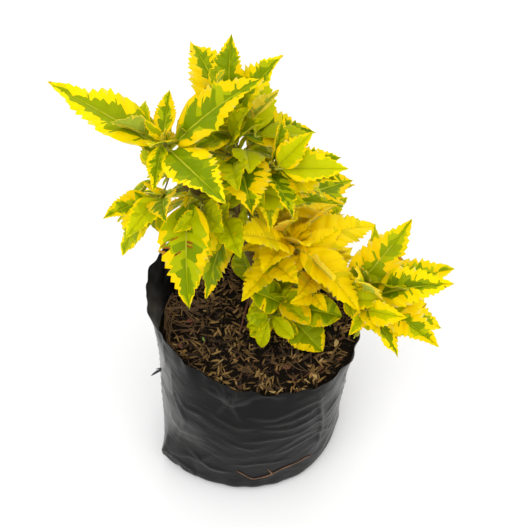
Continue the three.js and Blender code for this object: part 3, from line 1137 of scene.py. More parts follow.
@dataclass
class Blade:
    """Makes a leaf's mesh: rows follow the side veins and end in the margin's teeth.

    Attributes:
        rows: How many rows a side has.
        rows_per_tooth: How many rows a tooth takes.
        columns: How many columns of faces a half has.
        thickness: How thick the blade is.
        from_share: Where the blade starts on its stalk.
        sweep: How far the side veins run forward.
        teeth: How deep the teeth are, as a share of half the width.
        calm: How much the green's edge strays, beside a large leaf's.
        cores: The greens that its middle may have.
        sides: The greens that lie further out.
        channel: How deep the rib lies.
        quilt: How far the blade swells between the side veins.
        wave: How far the margin waves, as a share of the length.
        bites: Each eaten leaf's holes, by first row, first column, rows and columns.
    """

    rows: int = 52
    rows_per_tooth: int = 4
    columns: int = 7
    thickness: float = 0.26
    from_share: float = 0.075
    sweep: float = 0.2
    teeth: float = 0.23
    calm: float = 1.0
    cores: tuple[LeafTone, ...] = (LeafTone.GREEN, LeafTone.MOSS, LeafTone.DEEP)
    sides: tuple[LeafTone, ...] = (LeafTone.LIME, LeafTone.GREEN)
    channel: float = 0.42
    quilt: float = 0.1
    wave: float = 0.02
    bites: dict[str, tuple[Bite, ...]] = field(default_factory=dict)

    def __post_init__(self) -> None:
        """Works out the faces, with the row, half and column of each."""
        self.wide = 2 * self.columns + 1
        self.tip = self.rows * self.wide
        self.faces: list[Face] = []
        self.cells: list[tuple[int, int, int]] = []
        for under, at in ((0, self.upper), (1, self.lower)):
            for i in range(self.rows - 1):
                for j in range(self.wide - 1):
                    face = (at(i, j), at(i, j + 1), at(i + 1, j + 1), at(i + 1, j))
                    self.faces.append(face[::-1] if under else face)
                    self.cells.append((i, j, under))
            for j in range(self.wide - 1):
                face = (at(self.rows - 1, j), at(self.rows - 1, j + 1), self.tip)
                self.faces.append(face[::-1] if under else face)
                self.cells.append((self.rows - 1, j, under))
        for j in range(self.wide - 1):
            face = (self.upper(0, j), self.lower(0, j), self.lower(0, j + 1), self.upper(0, j + 1))
            self.faces.append(tuple(dict.fromkeys(face)))
            self.cells.append((0, j, 1))

    def upper(self, i: int, j: int) -> int:
        """The vertex of the upper side in a row and a column."""
        return i * self.wide + j

    def lower(self, i: int, j: int) -> int:
        """The vertex of the lower side in a row and a column. Both sides share the margin's."""
        inner = self.wide - 2
        return self.upper(i, j) if j in (0, inner + 1) else self.tip + i * inner + j

    def bitten(self, bites: Sequence[Bite]) -> tuple[set[tuple[int, int]], list[Face]]:
        """The cells that insects ate, and the faces that close the blade round each hole.

        Args:
            bites: The holes.

        Returns:
            The cells that are gone, and the faces between the two sides.
        """
        gone = {(i + a, j + b) for i, j, rows, columns in bites for a in range(rows) for b in range(columns)}
        round_a_cell = (
            ((-1, 0), (0, 0), (0, 1)), ((1, 0), (1, 1), (1, 0)),
            ((0, -1), (1, 0), (0, 0)), ((0, 1), (0, 1), (1, 1)),
        )
        walls = []
        for i, j in sorted(gone):
            for (a, b), first, second in round_a_cell:
                if (i + a, j + b) not in gone:
                    one, two = (i + first[0], j + first[1]), (i + second[0], j + second[1])
                    walls.append((self.upper(*two), self.upper(*one), self.lower(*one), self.lower(*two)))
        return gone, walls

    def bounds(self, leaf: Leaf, stream: Seeded) -> tuple[Array, Array]:
        """How far the green and the deeper green reach in each row of each half.

        Args:
            leaf: The leaf.
            stream: Its numbers.

        Returns:
            The edges of the gold and of the deeper green, by half and row.
        """
        outer = np.zeros((2, self.rows))
        rank = np.arange(self.rows) / self.rows
        phase = (np.arange(self.rows) % self.rows_per_tooth) / self.rows_per_tooth
        habit = stream.between(-0.22, 0.22)
        for half in (0, 1):
            lean = habit + stream.between(-0.1, 0.1)
            body = np.full(self.rows, leaf.green + lean)
            for waves, depth in ((1.4, 0.12), (2.6, 0.15), (5.3, 0.1)):
                often = 2 * np.pi * waves * stream.between(0.8, 1.25)
                body += self.calm * depth * np.sin(often * rank + stream.between(0, 6.28))
            body += 0.07 * (phase - 0.5)
            for _ in range(2):
                middle, wide = stream.between(0.15, 0.9), stream.between(0.03, 0.07)
                body += self.calm * stream.between(-0.55, 0.4) * np.exp(-(((rank - middle) / wide) ** 2))
            body -= np.maximum(0, rank - 0.7) * 1.7 * (1.25 - leaf.green)
            outer[half] = 0.62 if leaf.golden else np.clip(body, 0.07, 0.965)
        inner = np.clip(outer * (0.55 + 0.3 * np.sin(rank * 17 + 9 * leaf.green)), 0.06, outer - 0.008)
        return outer, inner

    def dealt(self, leaf: Leaf, stream: Seeded, outer: Array) -> list[int]:
        """The tone of every face, by the row, half and column it lies in.

        Args:
            leaf: The leaf.
            stream: Its numbers.
            outer: The edge of its gold by half and row.

        Returns:
            A tone's number for each face.
        """
        slot = {name: TONES.index(name) for name in LeafTone}
        rows, halves, n = self.rows, (0, 1), self.columns
        # Golden leaves always take the brighter gold: their own bright yellow, raised further as painted
        # light for the shaded rosette
        warm = (LeafTone.GOLD, LeafTone.BRIGHT)[int(stream.between(0, 1.99)) or leaf.golden]
        core = self.cores[int(stream.between(0, 2.4))]
        side = self.sides[int(stream.between(0, 1.6))]
        table = np.zeros((rows, 2 * n), int)
        for half in halves:
            for i in range(rows):
                if i % self.rows_per_tooth == 0:
                    panel = core if stream.draw() > -0.3 * self.calm else side
                    fringe = side if stream.draw() > -0.15 * self.calm else core
                    blush = warm if stream.draw() > -0.42 else LeafTone.LEMON
                gold = leaf.golden or outer[half, i] <= 0.071
                for c in range(n):
                    if gold:
                        name = LeafTone.LEMON if c < 2 and stream.draw() > 0.1 else blush
                    elif c == 0:
                        name = LeafTone.VEIN
                    elif c < 3:
                        name = panel
                    elif c < 5:
                        name = fringe
                    else:
                        name = blush
                    if c == 5 and not gold and stream.draw() > 0.42:
                        name = fringe
                    if c == n - 1 and rows * 0.5 < i and stream.draw() > 0.485:
                        name = LeafTone.SCORCH
                    table[i, n + c if half else n - 1 - c] = slot[name]
        greens = {slot[name] for name in (*self.cores, *self.sides, LeafTone.VEIN)}
        result = []
        for i, j, under in self.cells:
            found = int(table[i, j])
            if under:
                found = slot[LeafTone.PALE_GREEN] if found in greens else slot[LeafTone.PALE_GOLD]
            result.append(found)
        return result

    def add(self, heap: Heap, leaf: Leaf) -> None:
        """Adds a leaf's blade to a heap.

        Args:
            heap: The heap.
            leaf: The leaf.
        """
        stream = Seeded(leaf.seed)
        outer, inner = self.bounds(leaf, stream)
        n, wide = self.columns, self.wide
        row = np.arange(self.rows)
        rank = row / self.rows
        rib = mix(self.from_share, 1, rank)
        phase = (row % self.rows_per_tooth) / (self.rows_per_tooth - 1)
        fade = np.clip((rank - 0.2) / 0.25, 0, 1) * np.clip((1.02 - rank) / 0.2, 0, 1)
        swing = stream.between(0, 6.28)
        twist = math.radians(stream.between(-9, 9))
        tooth = np.floor(row / self.rows_per_tooth)
        depth = self.teeth * (1 + 0.4 * np.sin(tooth * 2.4 + swing) + 0.25 * np.sin(tooth * 1.1 + 3 * swing))
        points = np.zeros((self.rows, wide, 3))
        under = np.zeros((self.rows, wide, 3))
        for half, sign in ((0, -1), (1, 1)):
            forward = np.clip(rank * 6, 0, 1) * (0.45 + 0.55 * np.sin(np.pi * rank))
            edge = rib + self.sweep * (1 - rib) * forward
            edge = edge + fade * phase * 0.35 / self.rows
            toothing = fade * depth * leaf.toothed
            reach = leaf.outline(np.minimum(edge, 1)) * (1 + toothing * (phase - 0.75))
            reach = reach - RULE.edge * np.clip((rank - 0.9) / 0.1, 0, 1)
            near, deep, gold = np.full(self.rows, 0.04), inner[half], outer[half]
            middles = [(near + deep) / 2, deep, (deep + gold) / 2, gold, (gold + 1) / 2]
            marks = [near * 0, near, *middles, near * 0 + 1]
            for c in range(n + 1):
                over = marks[c]
                share = rib + (edge - rib) * over**1.25
                vein = np.abs(np.sin(np.pi * row / (2 * self.rows_per_tooth)))
                raised = -self.channel * np.exp(-((over / 0.07) ** 2))
                swell = np.sin(np.pi * np.clip(over, 0.02, 0.98)) ** 0.8
                raised = raised + self.quilt * reach * vein * swell
                waving = np.sin(rank * (9 + 3 * sign) + swing + sign) + 0.5 * np.sin(rank * 21 + 2 * swing)
                raised = raised + self.wave * leaf.length * over**2 * waving * np.clip(rank * 3, 0, 1)
                raised = raised - 0.22 * over**2 * reach * math.sin(leaf.fold)
                raised = raised + sign * over * reach * math.sin(twist) * rank
                j = n + sign * c
                points[:, j] = leaf.surface(share, sign * over * reach, raised)
                keel = 0.5 * np.exp(-((over / 0.06) ** 2)) * (1 - rank)
                body = self.thickness * (1 - 0.5 * over**3) + keel
                under[:, j] = leaf.surface(share, sign * over * reach, raised - body)
        tip = leaf.surface(np.array([1.0]), np.zeros(1), np.zeros(1))
        vertices = np.concatenate([points.reshape(-1, 3), tip, under[:, 1:-1].reshape(-1, 3)])
        faces, tones = self.faces, self.dealt(leaf, stream, outer)
        if leaf.name in self.bites:
            gone, walls = self.bitten(self.bites[leaf.name])
            brown = {(i + a, j + b) for i, j in gone for a, b in ((-1, 0), (1, 0), (0, -1), (0, 1))}
            kept = [k for k, cell in enumerate(self.cells) if cell[:2] not in gone]
            scorch = TONES.index(LeafTone.SCORCH)
            tones = [scorch if self.cells[k][:2] in brown and k % 2 else tones[k] for k in kept]
            tones += [scorch] * len(walls)
            faces = [faces[k] for k in kept] + walls
        heap.add(vertices, faces, tones)


# Lighter greens for the twig leaves and tiny leaves: young leaves are paler, and these are raised further as
# painted light for the shaded inside of the crown
YOUNG_SHADE_LIFTED_GREENS = (LeafTone.SPRING, LeafTone.LIME, LeafTone.GREEN)
BITES = {"hanging_1a": ((13, 8, 1, 1), (17, 10, 1, 1), (19, 12, 2, 1), (24, 10, 1, 1), (21, 5, 1, 1))}


@dataclass
class Foliage:
    """The leaves and twigs of every shoot, in place of the frame's masses."""

    growth: Growth
    blade: Blade = field(default_factory=lambda: Blade(bites=BITES))
    bark_young: Finish = Finish(
        "young_stem", (132, 130, 34), (92, 84, 40), patch=220, rough=0.55, relief=0.0002, grain=1600
    )
    stalk: Finish = Finish("leaf_stalk", (186, 184, 36), (150, 160, 30), patch=160, relief=0.0001)

    def tiny_leaves(self, name: str, shoot: Shoot) -> list[Leaf]:
        """Small young leaves in the axils and round the tip of a shoot.

        Args:
            name: The shoot's name.
            shoot: The shoot.

        Returns:
            Those leaves that found room.
        """
        found = []
        stream = Seeded(shoot.seeds[0] + 17)
        places = [(1.0, 12, 0), (1.0, 9, 80), (1.0, 6, 160)]
        for pair in range(len(shoot.seeds)):
            places.append((shoot.share(pair) - 0.01, 15, shoot.turn + shoot.step * pair))
            places.append((shoot.share(pair) - 0.03, 12, shoot.turn + shoot.step * pair + 90))
        for number, (share, size, round_to) in enumerate(places):
            for side in (0, 1):
                around = math.radians(round_to + 180 * side + stream.between(-25, 25))
                opening = math.radians(stream.between(22, 45) if share < 1 else stream.between(10, 30))
                out, along, face = spread(shoot.axis, around, opening, 0.4)
                length = size * stream.between(0.8, 1.35)
                base = shoot.stem(share) + out * 0.6
                bend = math.radians(stream.between(5, 30))
                leaf = Leaf(
                    name, base, along, face, length, bend, math.radians(28), 0.36,
                    green=shoot.green[1] * stream.between(0.4, 1.1),
                    seed=shoot.seeds[0] * 31 + number * 2 + side,
                )
                probes, shares = leaf.probes()
                if self.growth.has_room(leaf, probes, shares, 1.6):
                    self.growth.placed.append((leaf, probes, shares))
                    found.append(leaf)
        return found

    def stem(self, heap: Heap, name: str, shoot: Shoot) -> None:
        """A shoot's stem, swollen where its leaves stand.

        Args:
            heap: Where it goes.
            name: The shoot's name.
            shoot: The shoot.
        """
        limb = self.growth.limbs[name]
        steps = 36
        spine, radii = limb.spine(steps)
        share = np.arange(steps + 1) / steps
        for pair in range(len(shoot.seeds)):
            away = np.linalg.norm(spine - shoot.stem(shoot.share(pair)), axis=1)
            radii = radii + 0.5 * np.exp(-((away / 1.8) ** 2))
        sway = 0.35 * np.sin(share * shoot.reach / 6) * np.sin(np.pi * share)
        spine = spine + np.outer(sway, np.cross(shoot.axis, UP))
        heap.add(*tube(spine, radii, 12, 0.07), 0)

    def stalk_of(self, heap: Heap, leaf: Leaf) -> None:
        """A leaf's stalk, which runs on under the blade as its rib.

        Args:
            heap: Where it goes.
            leaf: The leaf.
        """
        share = np.linspace(0, 0.93, 20 if leaf.length > 40 else 12)
        rib, normal = leaf.frame_at(share)
        start = mix(0.75, 0.45, float(leaf.length < 25)) * (0.6 + leaf.length / 110)
        radii = start * (1 - share) ** 0.7 + 0.1
        under = self.blade.channel + 0.3
        sink = np.interp(share, [0, 0.06, 0.16, 1], [0.0, 0.15, under + 0.15, under])
        middle = rib - normal * sink[:, None]
        middle[0] = middle[0] - leaf.along * 0.8
        heap.add(*tube(middle, radii, 6), 1)

    def twig(self, heap: Heap, twig: Shoot) -> None:
        """A side twig's stem.

        Args:
            heap: Where it goes.
            twig: The twig.
        """
        steps = 10
        middle = np.array([twig.stem(share) for share in np.linspace(0, 1, steps)])
        sag = np.sin(np.pi * np.linspace(0, 1, steps))[:, None] * UP * -0.6
        heap.add(*tube(middle + sag, np.linspace(0.75, 0.4, steps), 8), 0)

    def build(self) -> None:
        """Builds two pieces for each shoot, its leaves and its twigs."""
        materials = [leaf_finish(name).material() for name in LeafTone]
        wood = [self.bark_young.material(), self.stalk.material()]
        main = list(self.growth.placed)
        young = replace(self.blade, rows_per_tooth=3, cores=YOUNG_SHADE_LIFTED_GREENS, sides=YOUNG_SHADE_LIFTED_GREENS, bites={})
        middling = replace(young, rows=27, thickness=0.22, channel=0.3, calm=0.5)
        small = replace(young, rows=12, thickness=0.2, quilt=0.02, channel=0.15, calm=0.3)
        sides = {name: self.growth.side_shoots(name) for name in SHOOTS}
        for name, shoot in SHOOTS.items():
            blades, twigs = Heap(f"{name}_leaves"), Heap(f"{name}_twigs")
            self.stem(twigs, name, shoot)
            kinds = [(self.blade, [leaf for leaf, _, _ in main if leaf.owner == name])]
            for twig, leaves in sides[name]:
                self.twig(twigs, twig)
                kinds.append((middling, leaves))
            kinds.append((small, self.tiny_leaves(name, shoot)))
            for maker, leaves in kinds:
                for leaf in leaves:
                    maker.add(blades, leaf)
                    self.stalk_of(twigs, leaf)
            filed(blades.build(materials), "leaf", f"{name}_foliage")
            filed(twigs.build(wood), "bark", f"{name}_foliage")


# Hand modelling
def select_nothing() -> None:
    """Selects nothing."""
    if bpy.context.object and bpy.context.object.mode != "OBJECT":
        bpy.ops.object.mode_set(mode="OBJECT")
    bpy.ops.object.select_all(action="DESELECT")


def take(piece: bpy.types.Object) -> None:
    """Selects one piece alone.

    Args:
        piece: The piece.
    """
    select_nothing()
    bpy.context.view_layer.objects.active = piece
    piece.select_set(True)


@contextmanager
def editing(piece: bpy.types.Object) -> Iterator[None]:
    """Edit mode, with all of a piece selected.

    Args:
        piece: The piece.
    """
    take(piece)
    bpy.ops.object.mode_set(mode="EDIT")
    bpy.ops.mesh.select_all(action="SELECT")
    yield
    bpy.ops.object.mode_set(mode="OBJECT")


def sleeve(name: str, sides: int, rings: int, capped: bool) -> bpy.types.Object:
    """A ring of vertices extruded again and again, to be given a shape.

    Args:
        name: The piece's name.
        sides: How many vertices a ring has.
        rings: How many rings there are.
        capped: Whether faces close its ends.

    Returns:
        The object, with its vertices ring after ring.
    """
    select_nothing()
    fill = "NGON" if capped else "NOTHING"
    bpy.ops.mesh.primitive_circle_add(vertices=sides, radius=0.01, fill_type=fill)
    piece = bpy.context.object
    piece.name = name
    piece.data.name = name
    with editing(piece):
        for _ in range(rings - 1):
            bpy.ops.mesh.extrude_region_move(TRANSFORM_OT_translate={"value": (0, 0, 0.001)})
    return piece


def give_points(piece: bpy.types.Object, points: Array) -> None:
    """Moves the vertices of a piece to points in millimetres."""
    piece.data.vertices.foreach_set("co", (points * MM).ravel())
    piece.data.update()


def turn_outward(piece: bpy.types.Object) -> None:
    """Turns all faces of a closed piece outwards."""
    with editing(piece):
        bpy.ops.mesh.normals_make_consistent(inside=False)


def finish_piece(piece: bpy.types.Object, finish: Finish, slot: str, *nodes: str, angle: float = 60) -> None:
    """Shades, dresses and files a piece.

    Args:
        piece: The piece.
        finish: Its finish.
        slot: A slot's name, passed on to filed, which does not use it.
        nodes: The frame's nodes that it takes the place of.
        angle: Edges sharper than this stay sharp, in degrees.
    """
    take(piece)
    bpy.ops.object.shade_smooth_by_angle(angle=math.radians(angle))
    piece.data.materials.clear()
    piece.data.materials.append(finish.material())
    filed(piece, slot, *nodes)


def field_of(value: Callable[..., float], x: Array, y: Array, z: Array, *settings: float) -> Array:
    """The values of a noise function at places.

    Args:
        value: The function of a place and of its settings.
        x: The first coordinate of each place.
        y: The second one.
        z: The third one.
        settings: The function's settings.

    Returns:
        The values, in the shape of the places.
    """
    places = np.broadcast_arrays(x, y, z)
    found = [value(Vector(place), *settings) for place in zip(*(axis.ravel() for axis in places))]
    return np.reshape(found, places[0].shape)


def rough(x: Array, y: Array, z: Array, octaves: int = 3) -> Array:
    """Smooth noise of about -1 to 1 at places."""
    return field_of(noise.fractal, x, y, z, 1.0, 2.0, octaves)


def crest(x: Array, y: Array, z: Array, octaves: int = 3) -> Array:
    """Noise with sharp crests, about 0 to 1, at places."""
    found = field_of(noise.ridged_multi_fractal, x, y, z, 1.0, 2.1, octaves, 1.0, 2.0)
    return np.clip(found / 2.0, 0.0, 1.2)


def turned(points: Array, yaw: float, pitch: float, roll: float) -> Array:
    """Points turned about the origin, by angles in radians."""
    matrix = Matrix.Rotation(yaw, 3, "Z") @ Matrix.Rotation(pitch, 3, "Y") @ Matrix.Rotation(roll, 3, "X")
    return points @ np.array(matrix).T


def sliver(length: float, width: float, thick: float, curl: float) -> Mesh:
    """A boat-shaped husk, or a flat shaving where it is thin and straight.

    Args:
        length: Its length.
        width: Its width.
        thick: How thick it is.
        curl: How far its sides curl up.

    Returns:
        Its vertices and faces.
    """
    stations = ((-0.5, 0.12), (-0.27, 0.8), (0.02, 1.0), (0.28, 0.74), (0.5, 0.1))
    around = 6
    turn = np.arange(around) * 2 * math.pi / around
    rings = []
    for along, swell in stations:
        side = np.cos(turn) * width / 2 * swell
        curled = curl * (2 * (side / width) ** 2 - 0.3 * (2 * along) ** 2)
        lift = np.sin(turn) * thick / 2 * swell + curled
        rings.append(np.stack([np.full(around, along * length), side, lift], 1))
    faces = [(a, d, c, b) for a, b, c, d in ring_faces(len(stations), around)]
    last = (len(stations) - 1) * around
    ends = [tuple(range(around)), tuple(reversed(range(last, last + around)))]
    return np.concatenate(rings), faces + ends


@dataclass
class Wood:
    """The trunk and the boughs, with furrows and leaf scars in their bark."""

    growth: Growth
    bark: Finish = Finish(
        "trunk_bark", (112, 98, 50), (82, 60, 40), patch=260, patch_from=0.4, rough=0.75,
        relief=0.0006, grain=1500, stretch=(1, 1, 0.35), gloss=0.3,
    )
    green_bark: Finish = Finish(
        "green_bark", (122, 108, 44), (84, 56, 46), patch=240, patch_from=0.38, rough=0.62,
        relief=0.0004, grain=1700, stretch=(1, 1, 0.5), gloss=0.35,
    )
    furrow: float = 0.3
    scar_every: float = 17.0
    trunk_mesh: tuple[int, int] = (48, 220)
    bough_mesh: tuple[int, int] = (28, 110)

    def relief(self, limb: Limb, far: float, turn: Array, radius: float) -> Array:
        """How far the bark stands out, by the way along the limb and the turns round it.

        Args:
            limb: The limb.
            far: How far along it.
            turn: The turns in radians.
            radius: How thick the limb is there.

        Returns:
            The height of the relief at each turn.
        """
        east, north = np.cos(turn) * 1.6, np.sin(turn) * 1.6
        lines = crest(east * 2.2, north * 2.2, far / 16 + len(limb.owner), 4)
        lumps = rough(east, north, far / 5, 2)
        near = far % self.scar_every - self.scar_every / 2
        side = np.maximum(np.cos(2 * (turn - (far // self.scar_every) * math.pi / 2)), 0)
        scar = math.exp(-((near / 1.1) ** 2)) * (0.25 + 0.6 * side**3)
        groove = 0.22 * math.exp(-(((near - 1.9) / 0.5) ** 2)) * side**2
        dots = np.maximum(rough(east * 5, north * 5, far / 1.6, 1) - 0.42, 0) * 0.5
        return (self.furrow * (lines - 0.5) + 0.18 * lumps + scar - groove + dots) * min(1.0, radius / 2.2)

    def limb_piece(self, name: str, sides: int, rings: int) -> bpy.types.Object:
        """One limb.

        Args:
            name: The limb.
            sides: How many sides it has.
            rings: How many sections it has.

        Returns:
            Its piece.
        """
        limb = self.growth.limbs[name]
        piece = sleeve(f"{name}_bark", sides, rings, True)
        spine, radii = limb.spine(rings - 1)
        far = np.concatenate([[0], np.cumsum(np.linalg.norm(np.diff(spine, axis=0), axis=1))])
        turn = np.arange(sides) * 2 * math.pi / sides
        points = np.zeros((rings, sides, 3))
        for i in range(rings):
            first, second = square_to(UP if limb.level else limb.heading(i / (rings - 1)))
            closing = 0.35 if i in (0, rings - 1) and not limb.level else 1.0
            size = (radii[i] + self.relief(limb, far[i], turn, radii[i])) * closing
            if limb.flare:
                size = size + 0.2 * limb.flare[0] * math.exp(-far[i] / 4) * np.cos(5 * turn + 1)
            out = np.outer(np.cos(turn), first) + np.outer(np.sin(turn), second)
            points[i] = spine[i] + out * size[:, None]
        give_points(piece, points.reshape(-1, 3))
        turn_outward(piece)
        return piece

    def build(self) -> None:
        """Builds the trunk and the boughs."""
        finish_piece(self.limb_piece("trunk", *self.trunk_mesh), self.bark, "bark", "trunk")
        for name in BOUGHS:
            finish_piece(self.limb_piece(name, *self.bough_mesh), self.green_bark, "bark", name)


def gap_between(turn: Array, towards: float) -> Array:
    """The angle from a direction to others, from -180 to 180 degrees."""
    return (turn - towards + 180) % 360 - 180


@dataclass(frozen=True)
class Fold:
    """A fold or a wrinkle of the film.

    Attributes:
        way: The points that it passes, by direction in degrees and height.
        width: How far its sides reach.
        height: How far it stands out.
        worn: How pale its crest is: a painted highlight, with some rub.
    """

    way: tuple[Pair, ...]
    width: float
    height: float
    worn: float = 0.0

    def at(self, turn: Array, z: Array) -> tuple[Array, Array]:
        """What it does to the film.

        Args:
            turn: Directions in degrees.
            z: The height at each.

        Returns:
            How far it lifts the film, and how pale it makes it with a painted highlight along its crest.
        """
        degree = math.radians(FILM_RADIUS)
        nearest = np.full(np.shape(z), 1e3)
        ending = np.zeros(np.shape(z))
        last = len(self.way) - 1
        for k in range(last):
            (a, low), (b, high) = self.way[k], self.way[k + 1]
            across, run = gap_between(turn, a) * degree, np.array([(b - a) * degree, high - low])
            along = np.clip((across * run[0] + (z - low) * run[1]) / (run @ run), 0, 1)
            away = np.hypot(across - along * run[0], z - low - along * run[1])
            ending = np.where(away < nearest, (k + along) / last, ending)
            nearest = np.minimum(nearest, away)
        fade = np.sin(math.pi * np.clip(ending, 0.04, 0.96)) ** 0.5
        # The crest is painted paler: a painted highlight, with some rub
        pale = 0.17 * self.worn * fade * np.exp(-((nearest / 0.9) ** 2))
        return self.height * fade * np.exp(-nearest / self.width), pale


@dataclass(frozen=True)
class DustAndSheenSmear:
    """A pale smear on the film, by direction, breadth in degrees, heights and paleness: painted sheen,
    streaked like dust.
    """

    towards: float
    width: float
    low: float
    high: float
    strength: float

    def at(self, turn: Array, z: Array) -> Array:
        """How pale it makes the film at directions and heights."""
        ends = np.sin(math.pi * np.clip((z - self.low) / (self.high - self.low), 0, 1)) ** 0.8
        return self.strength * ends * np.exp(-((gap_between(turn, self.towards) / self.width) ** 2))


@dataclass
class Bag:
    """The film bag: folded corner, wrinkles, creases and a crinkled rim.

    Attributes:
        pot: The outline.
        film: The film's finish.
        thickness: Its thickness.
        sides: The vertices of a ring.
        foot_rings: The rings of the underside and its round edge.
        wall_rings: The rings of the wall.
        round_height: The height in which the foot turns up, and how far in it starts.
        inset: How far it stays inside the outline.
        folds: The folds and wrinkles that stand out one by one.
        smears: The pale smears: painted sheen, streaked like dust.
    """

    pot: Pot
    film: Finish = Finish(
        "black_film", (9, 8, 8), (28, 27, 26), patch=26, patch_from=0.52, rough=0.3,
        relief=0.0003, grain=260, stretch=(1, 1, 2.2), gloss=0.05, sheen=0.18,
        # The pale colour of dust and rub, also laid on as painted sheen and painted highlights
        worn=(170, 169, 168),
    )
    thickness: float = 0.35
    sides: int = 312
    foot_rings: int = 12
    wall_rings: int = 94
    round_height: float = 7.0
    inset: float = 0.3
    folds: tuple[Fold, ...] = (
        Fold(((-56, 97), (-54, 72), (-52, 51), (-54, 26)), 1.5, 1.9, 0.35),
        Fold(((-53, 88), (-68, 88), (-81, 85), (-92, 88)), 1.3, 1.2, 0.3),
        Fold(((-53, 81), (-73, 79), (-85, 80.5)), 1.2, 1.3, 0.35),
        Fold(((-53, 72), (-71, 71.4), (-86, 76.6)), 1.2, 1.2, 0.25),
        Fold(((-52, 62), (-67, 62), (-82, 66), (-96, 64)), 1.3, 0.9, 0.2),
        Fold(((-52, 46), (-66, 49), (-80, 46)), 1.4, 1.0, 0.2),
        Fold(((-52, 45.6), (-41, 31.8), (-33, 27)), 1.4, 1.4, 0.35),
        Fold(((-52, 60), (-40, 66), (-24, 62)), 1.5, 1.3, 0.25),
        Fold(((-30, 98), (-33, 78), (-24, 61), (-30, 34)), 1.8, 1.3, 0.3),
        Fold(((-8, 64), (-2, 60), (4, 52)), 2.2, -2.0),
        Fold(((-28, 34), (-20, 31), (-12, 33)), 2.2, -2.0),
        Fold(((-117, 103.6), (-105, 100.7), (-95, 104)), 1.2, 1.4, 0.3),
        Fold(((-112, 107), (-101, 98), (-92, 101)), 1.0, 1.5, 0.35),
        Fold(((-107, 111), (-104, 98), (-108, 88)), 1.1, 1.6, 0.2),
        Fold(((-98, 111), (-101, 97), (-97, 86)), 1.0, 1.4, 0.2),
        Fold(((-101, 98), (-85, 106), (-74, 101)), 1.2, 1.2, 0.25),
        Fold(((-104, 108), (-102, 101)), 1.4, -1.8),
        Fold(((-110, 110), (-109, 104)), 1.2, -1.4),
        Fold(((-141, 98), (-136, 78), (-127, 65), (-131, 38)), 1.5, 1.5, 0.5),
        Fold(((-135, 84), (-127, 77), (-116, 80)), 1.3, 1.1, 0.4),
        Fold(((-140, 62), (-136, 52.7), (-128, 51.9), (-116, 56)), 1.4, 1.1, 0.45),
        Fold(((-150, 118), (-146, 96), (-153, 70), (-148, 40)), 1.7, 1.5, 0.45),
        Fold(((-162, 108), (-166, 84), (-160, 58), (-166, 30)), 1.8, 1.4, 0.3),
        Fold(((-146, 5), (-140, 13), (-131, 15.5), (-123, 12), (-120, 2)), 1.1, 1.7, 0.5),
        Fold(((-139, 14), (-125, 27), (-116, 30), (-109, 43)), 1.6, 1.4, 0.35),
        Fold(((-123, 35.5), (-112, 24.2), (-103, 24)), 1.3, 1.4, 0.5),
        Fold(((-131, 3), (-130, 9)), 4.0, -2.2),
        Fold(((-143, -8), (-141, 8), (-139, 22), (-138, 34)), 3.2, 3.6, 0.1),
        Fold(((-158, -4), (-157, 14), (-154, 30)), 6.0, -1.8),
        Fold(((-122, -4), (-121, 16), (-124, 30)), 6.0, -1.2),
        Fold(((-104, 62), (-92, 56), (-84, 58)), 1.6, 0.7, 0.08),
        Fold(((-112, 86), (-98, 78), (-88, 79)), 1.5, 0.8, 0.1),
        Fold(((-100, 34), (-88, 38), (-74, 35)), 1.5, 0.8, 0.1),
        Fold(((20, 104), (16, 70), (22, 34)), 1.8, 1.5, 0.3),
        Fold(((64, 106), (70, 74), (62, 44), (67, 22)), 1.7, 1.6, 0.3),
        Fold(((66, 80), (84, 74), (104, 79)), 1.4, 1.1, 0.25),
        Fold(((66, 52), (88, 56), (102, 48)), 1.4, 1.0, 0.25),
        Fold(((118, 104), (112, 76), (120, 48), (114, 20)), 1.8, 1.5, 0.3),
        Fold(((118, 70), (138, 62), (156, 68)), 1.5, 1.2, 0.25),
        Fold(((160, 100), (166, 66), (158, 30)), 1.7, 1.4, 0.3),
        Fold(((34, 40), (44, 24), (60, 17)), 1.5, 1.3, 0.3),
    )
    # Painted sheen, mostly at the film's left and right sides, streaked like dust
    smears: tuple[DustAndSheenSmear, ...] = (
        DustAndSheenSmear(-168, 17, -10, 128, 0.95), DustAndSheenSmear(-146, 11, 20, 110, 0.34), DustAndSheenSmear(-24, 13, 6, 118, 0.5),
        DustAndSheenSmear(-128, 9, 34, 68, 0.2), DustAndSheenSmear(42, 15, 2, 112, 0.22), DustAndSheenSmear(96, 18, 6, 104, 0.18),
    )

    def shape(self, turn: Array, z: Array, rim: Array) -> tuple[Array, Array]:
        """How far the film stands out from the bag's plain outline, and how pale it is with dust, painted
        sheen and painted highlights.

        Args:
            turn: The directions in degrees.
            z: The heights.
            rim: The height of the rim in each direction.

        Returns:
            The distances outwards and the paleness.
        """
        angle = np.radians(turn)
        east, north = np.cos(angle), np.sin(angle)
        share = z / rim
        slant = z + 2.6 * np.sin(angle * 3 + 1) + 3.5 * np.sin(angle * 7 + 0.4)
        warp = rough(east * 1.6, north * 1.6, z / 45, 2)
        bands = crest(east * 1.5, north * 1.5, slant / 15 + warp * 0.9, 3)
        fine = crest(east * 4.2 + 7, north * 4.2, slant / 6 + warp * 1.5, 2)
        strength = np.clip(0.55 + 0.8 * rough(east * 1.7 + 3, north * 1.7, z / 40, 2), 0.12, 1.2)
        strength = strength * (1 - 0.55 * np.exp(-((gap_between(turn, -98) / 26) ** 2)))
        out = 1.3 * rough(east * 1.3, north * 1.3, z / 60, 2)
        out = out + strength * (1.6 * (bands - 0.45) + 0.5 * (fine - 0.45))
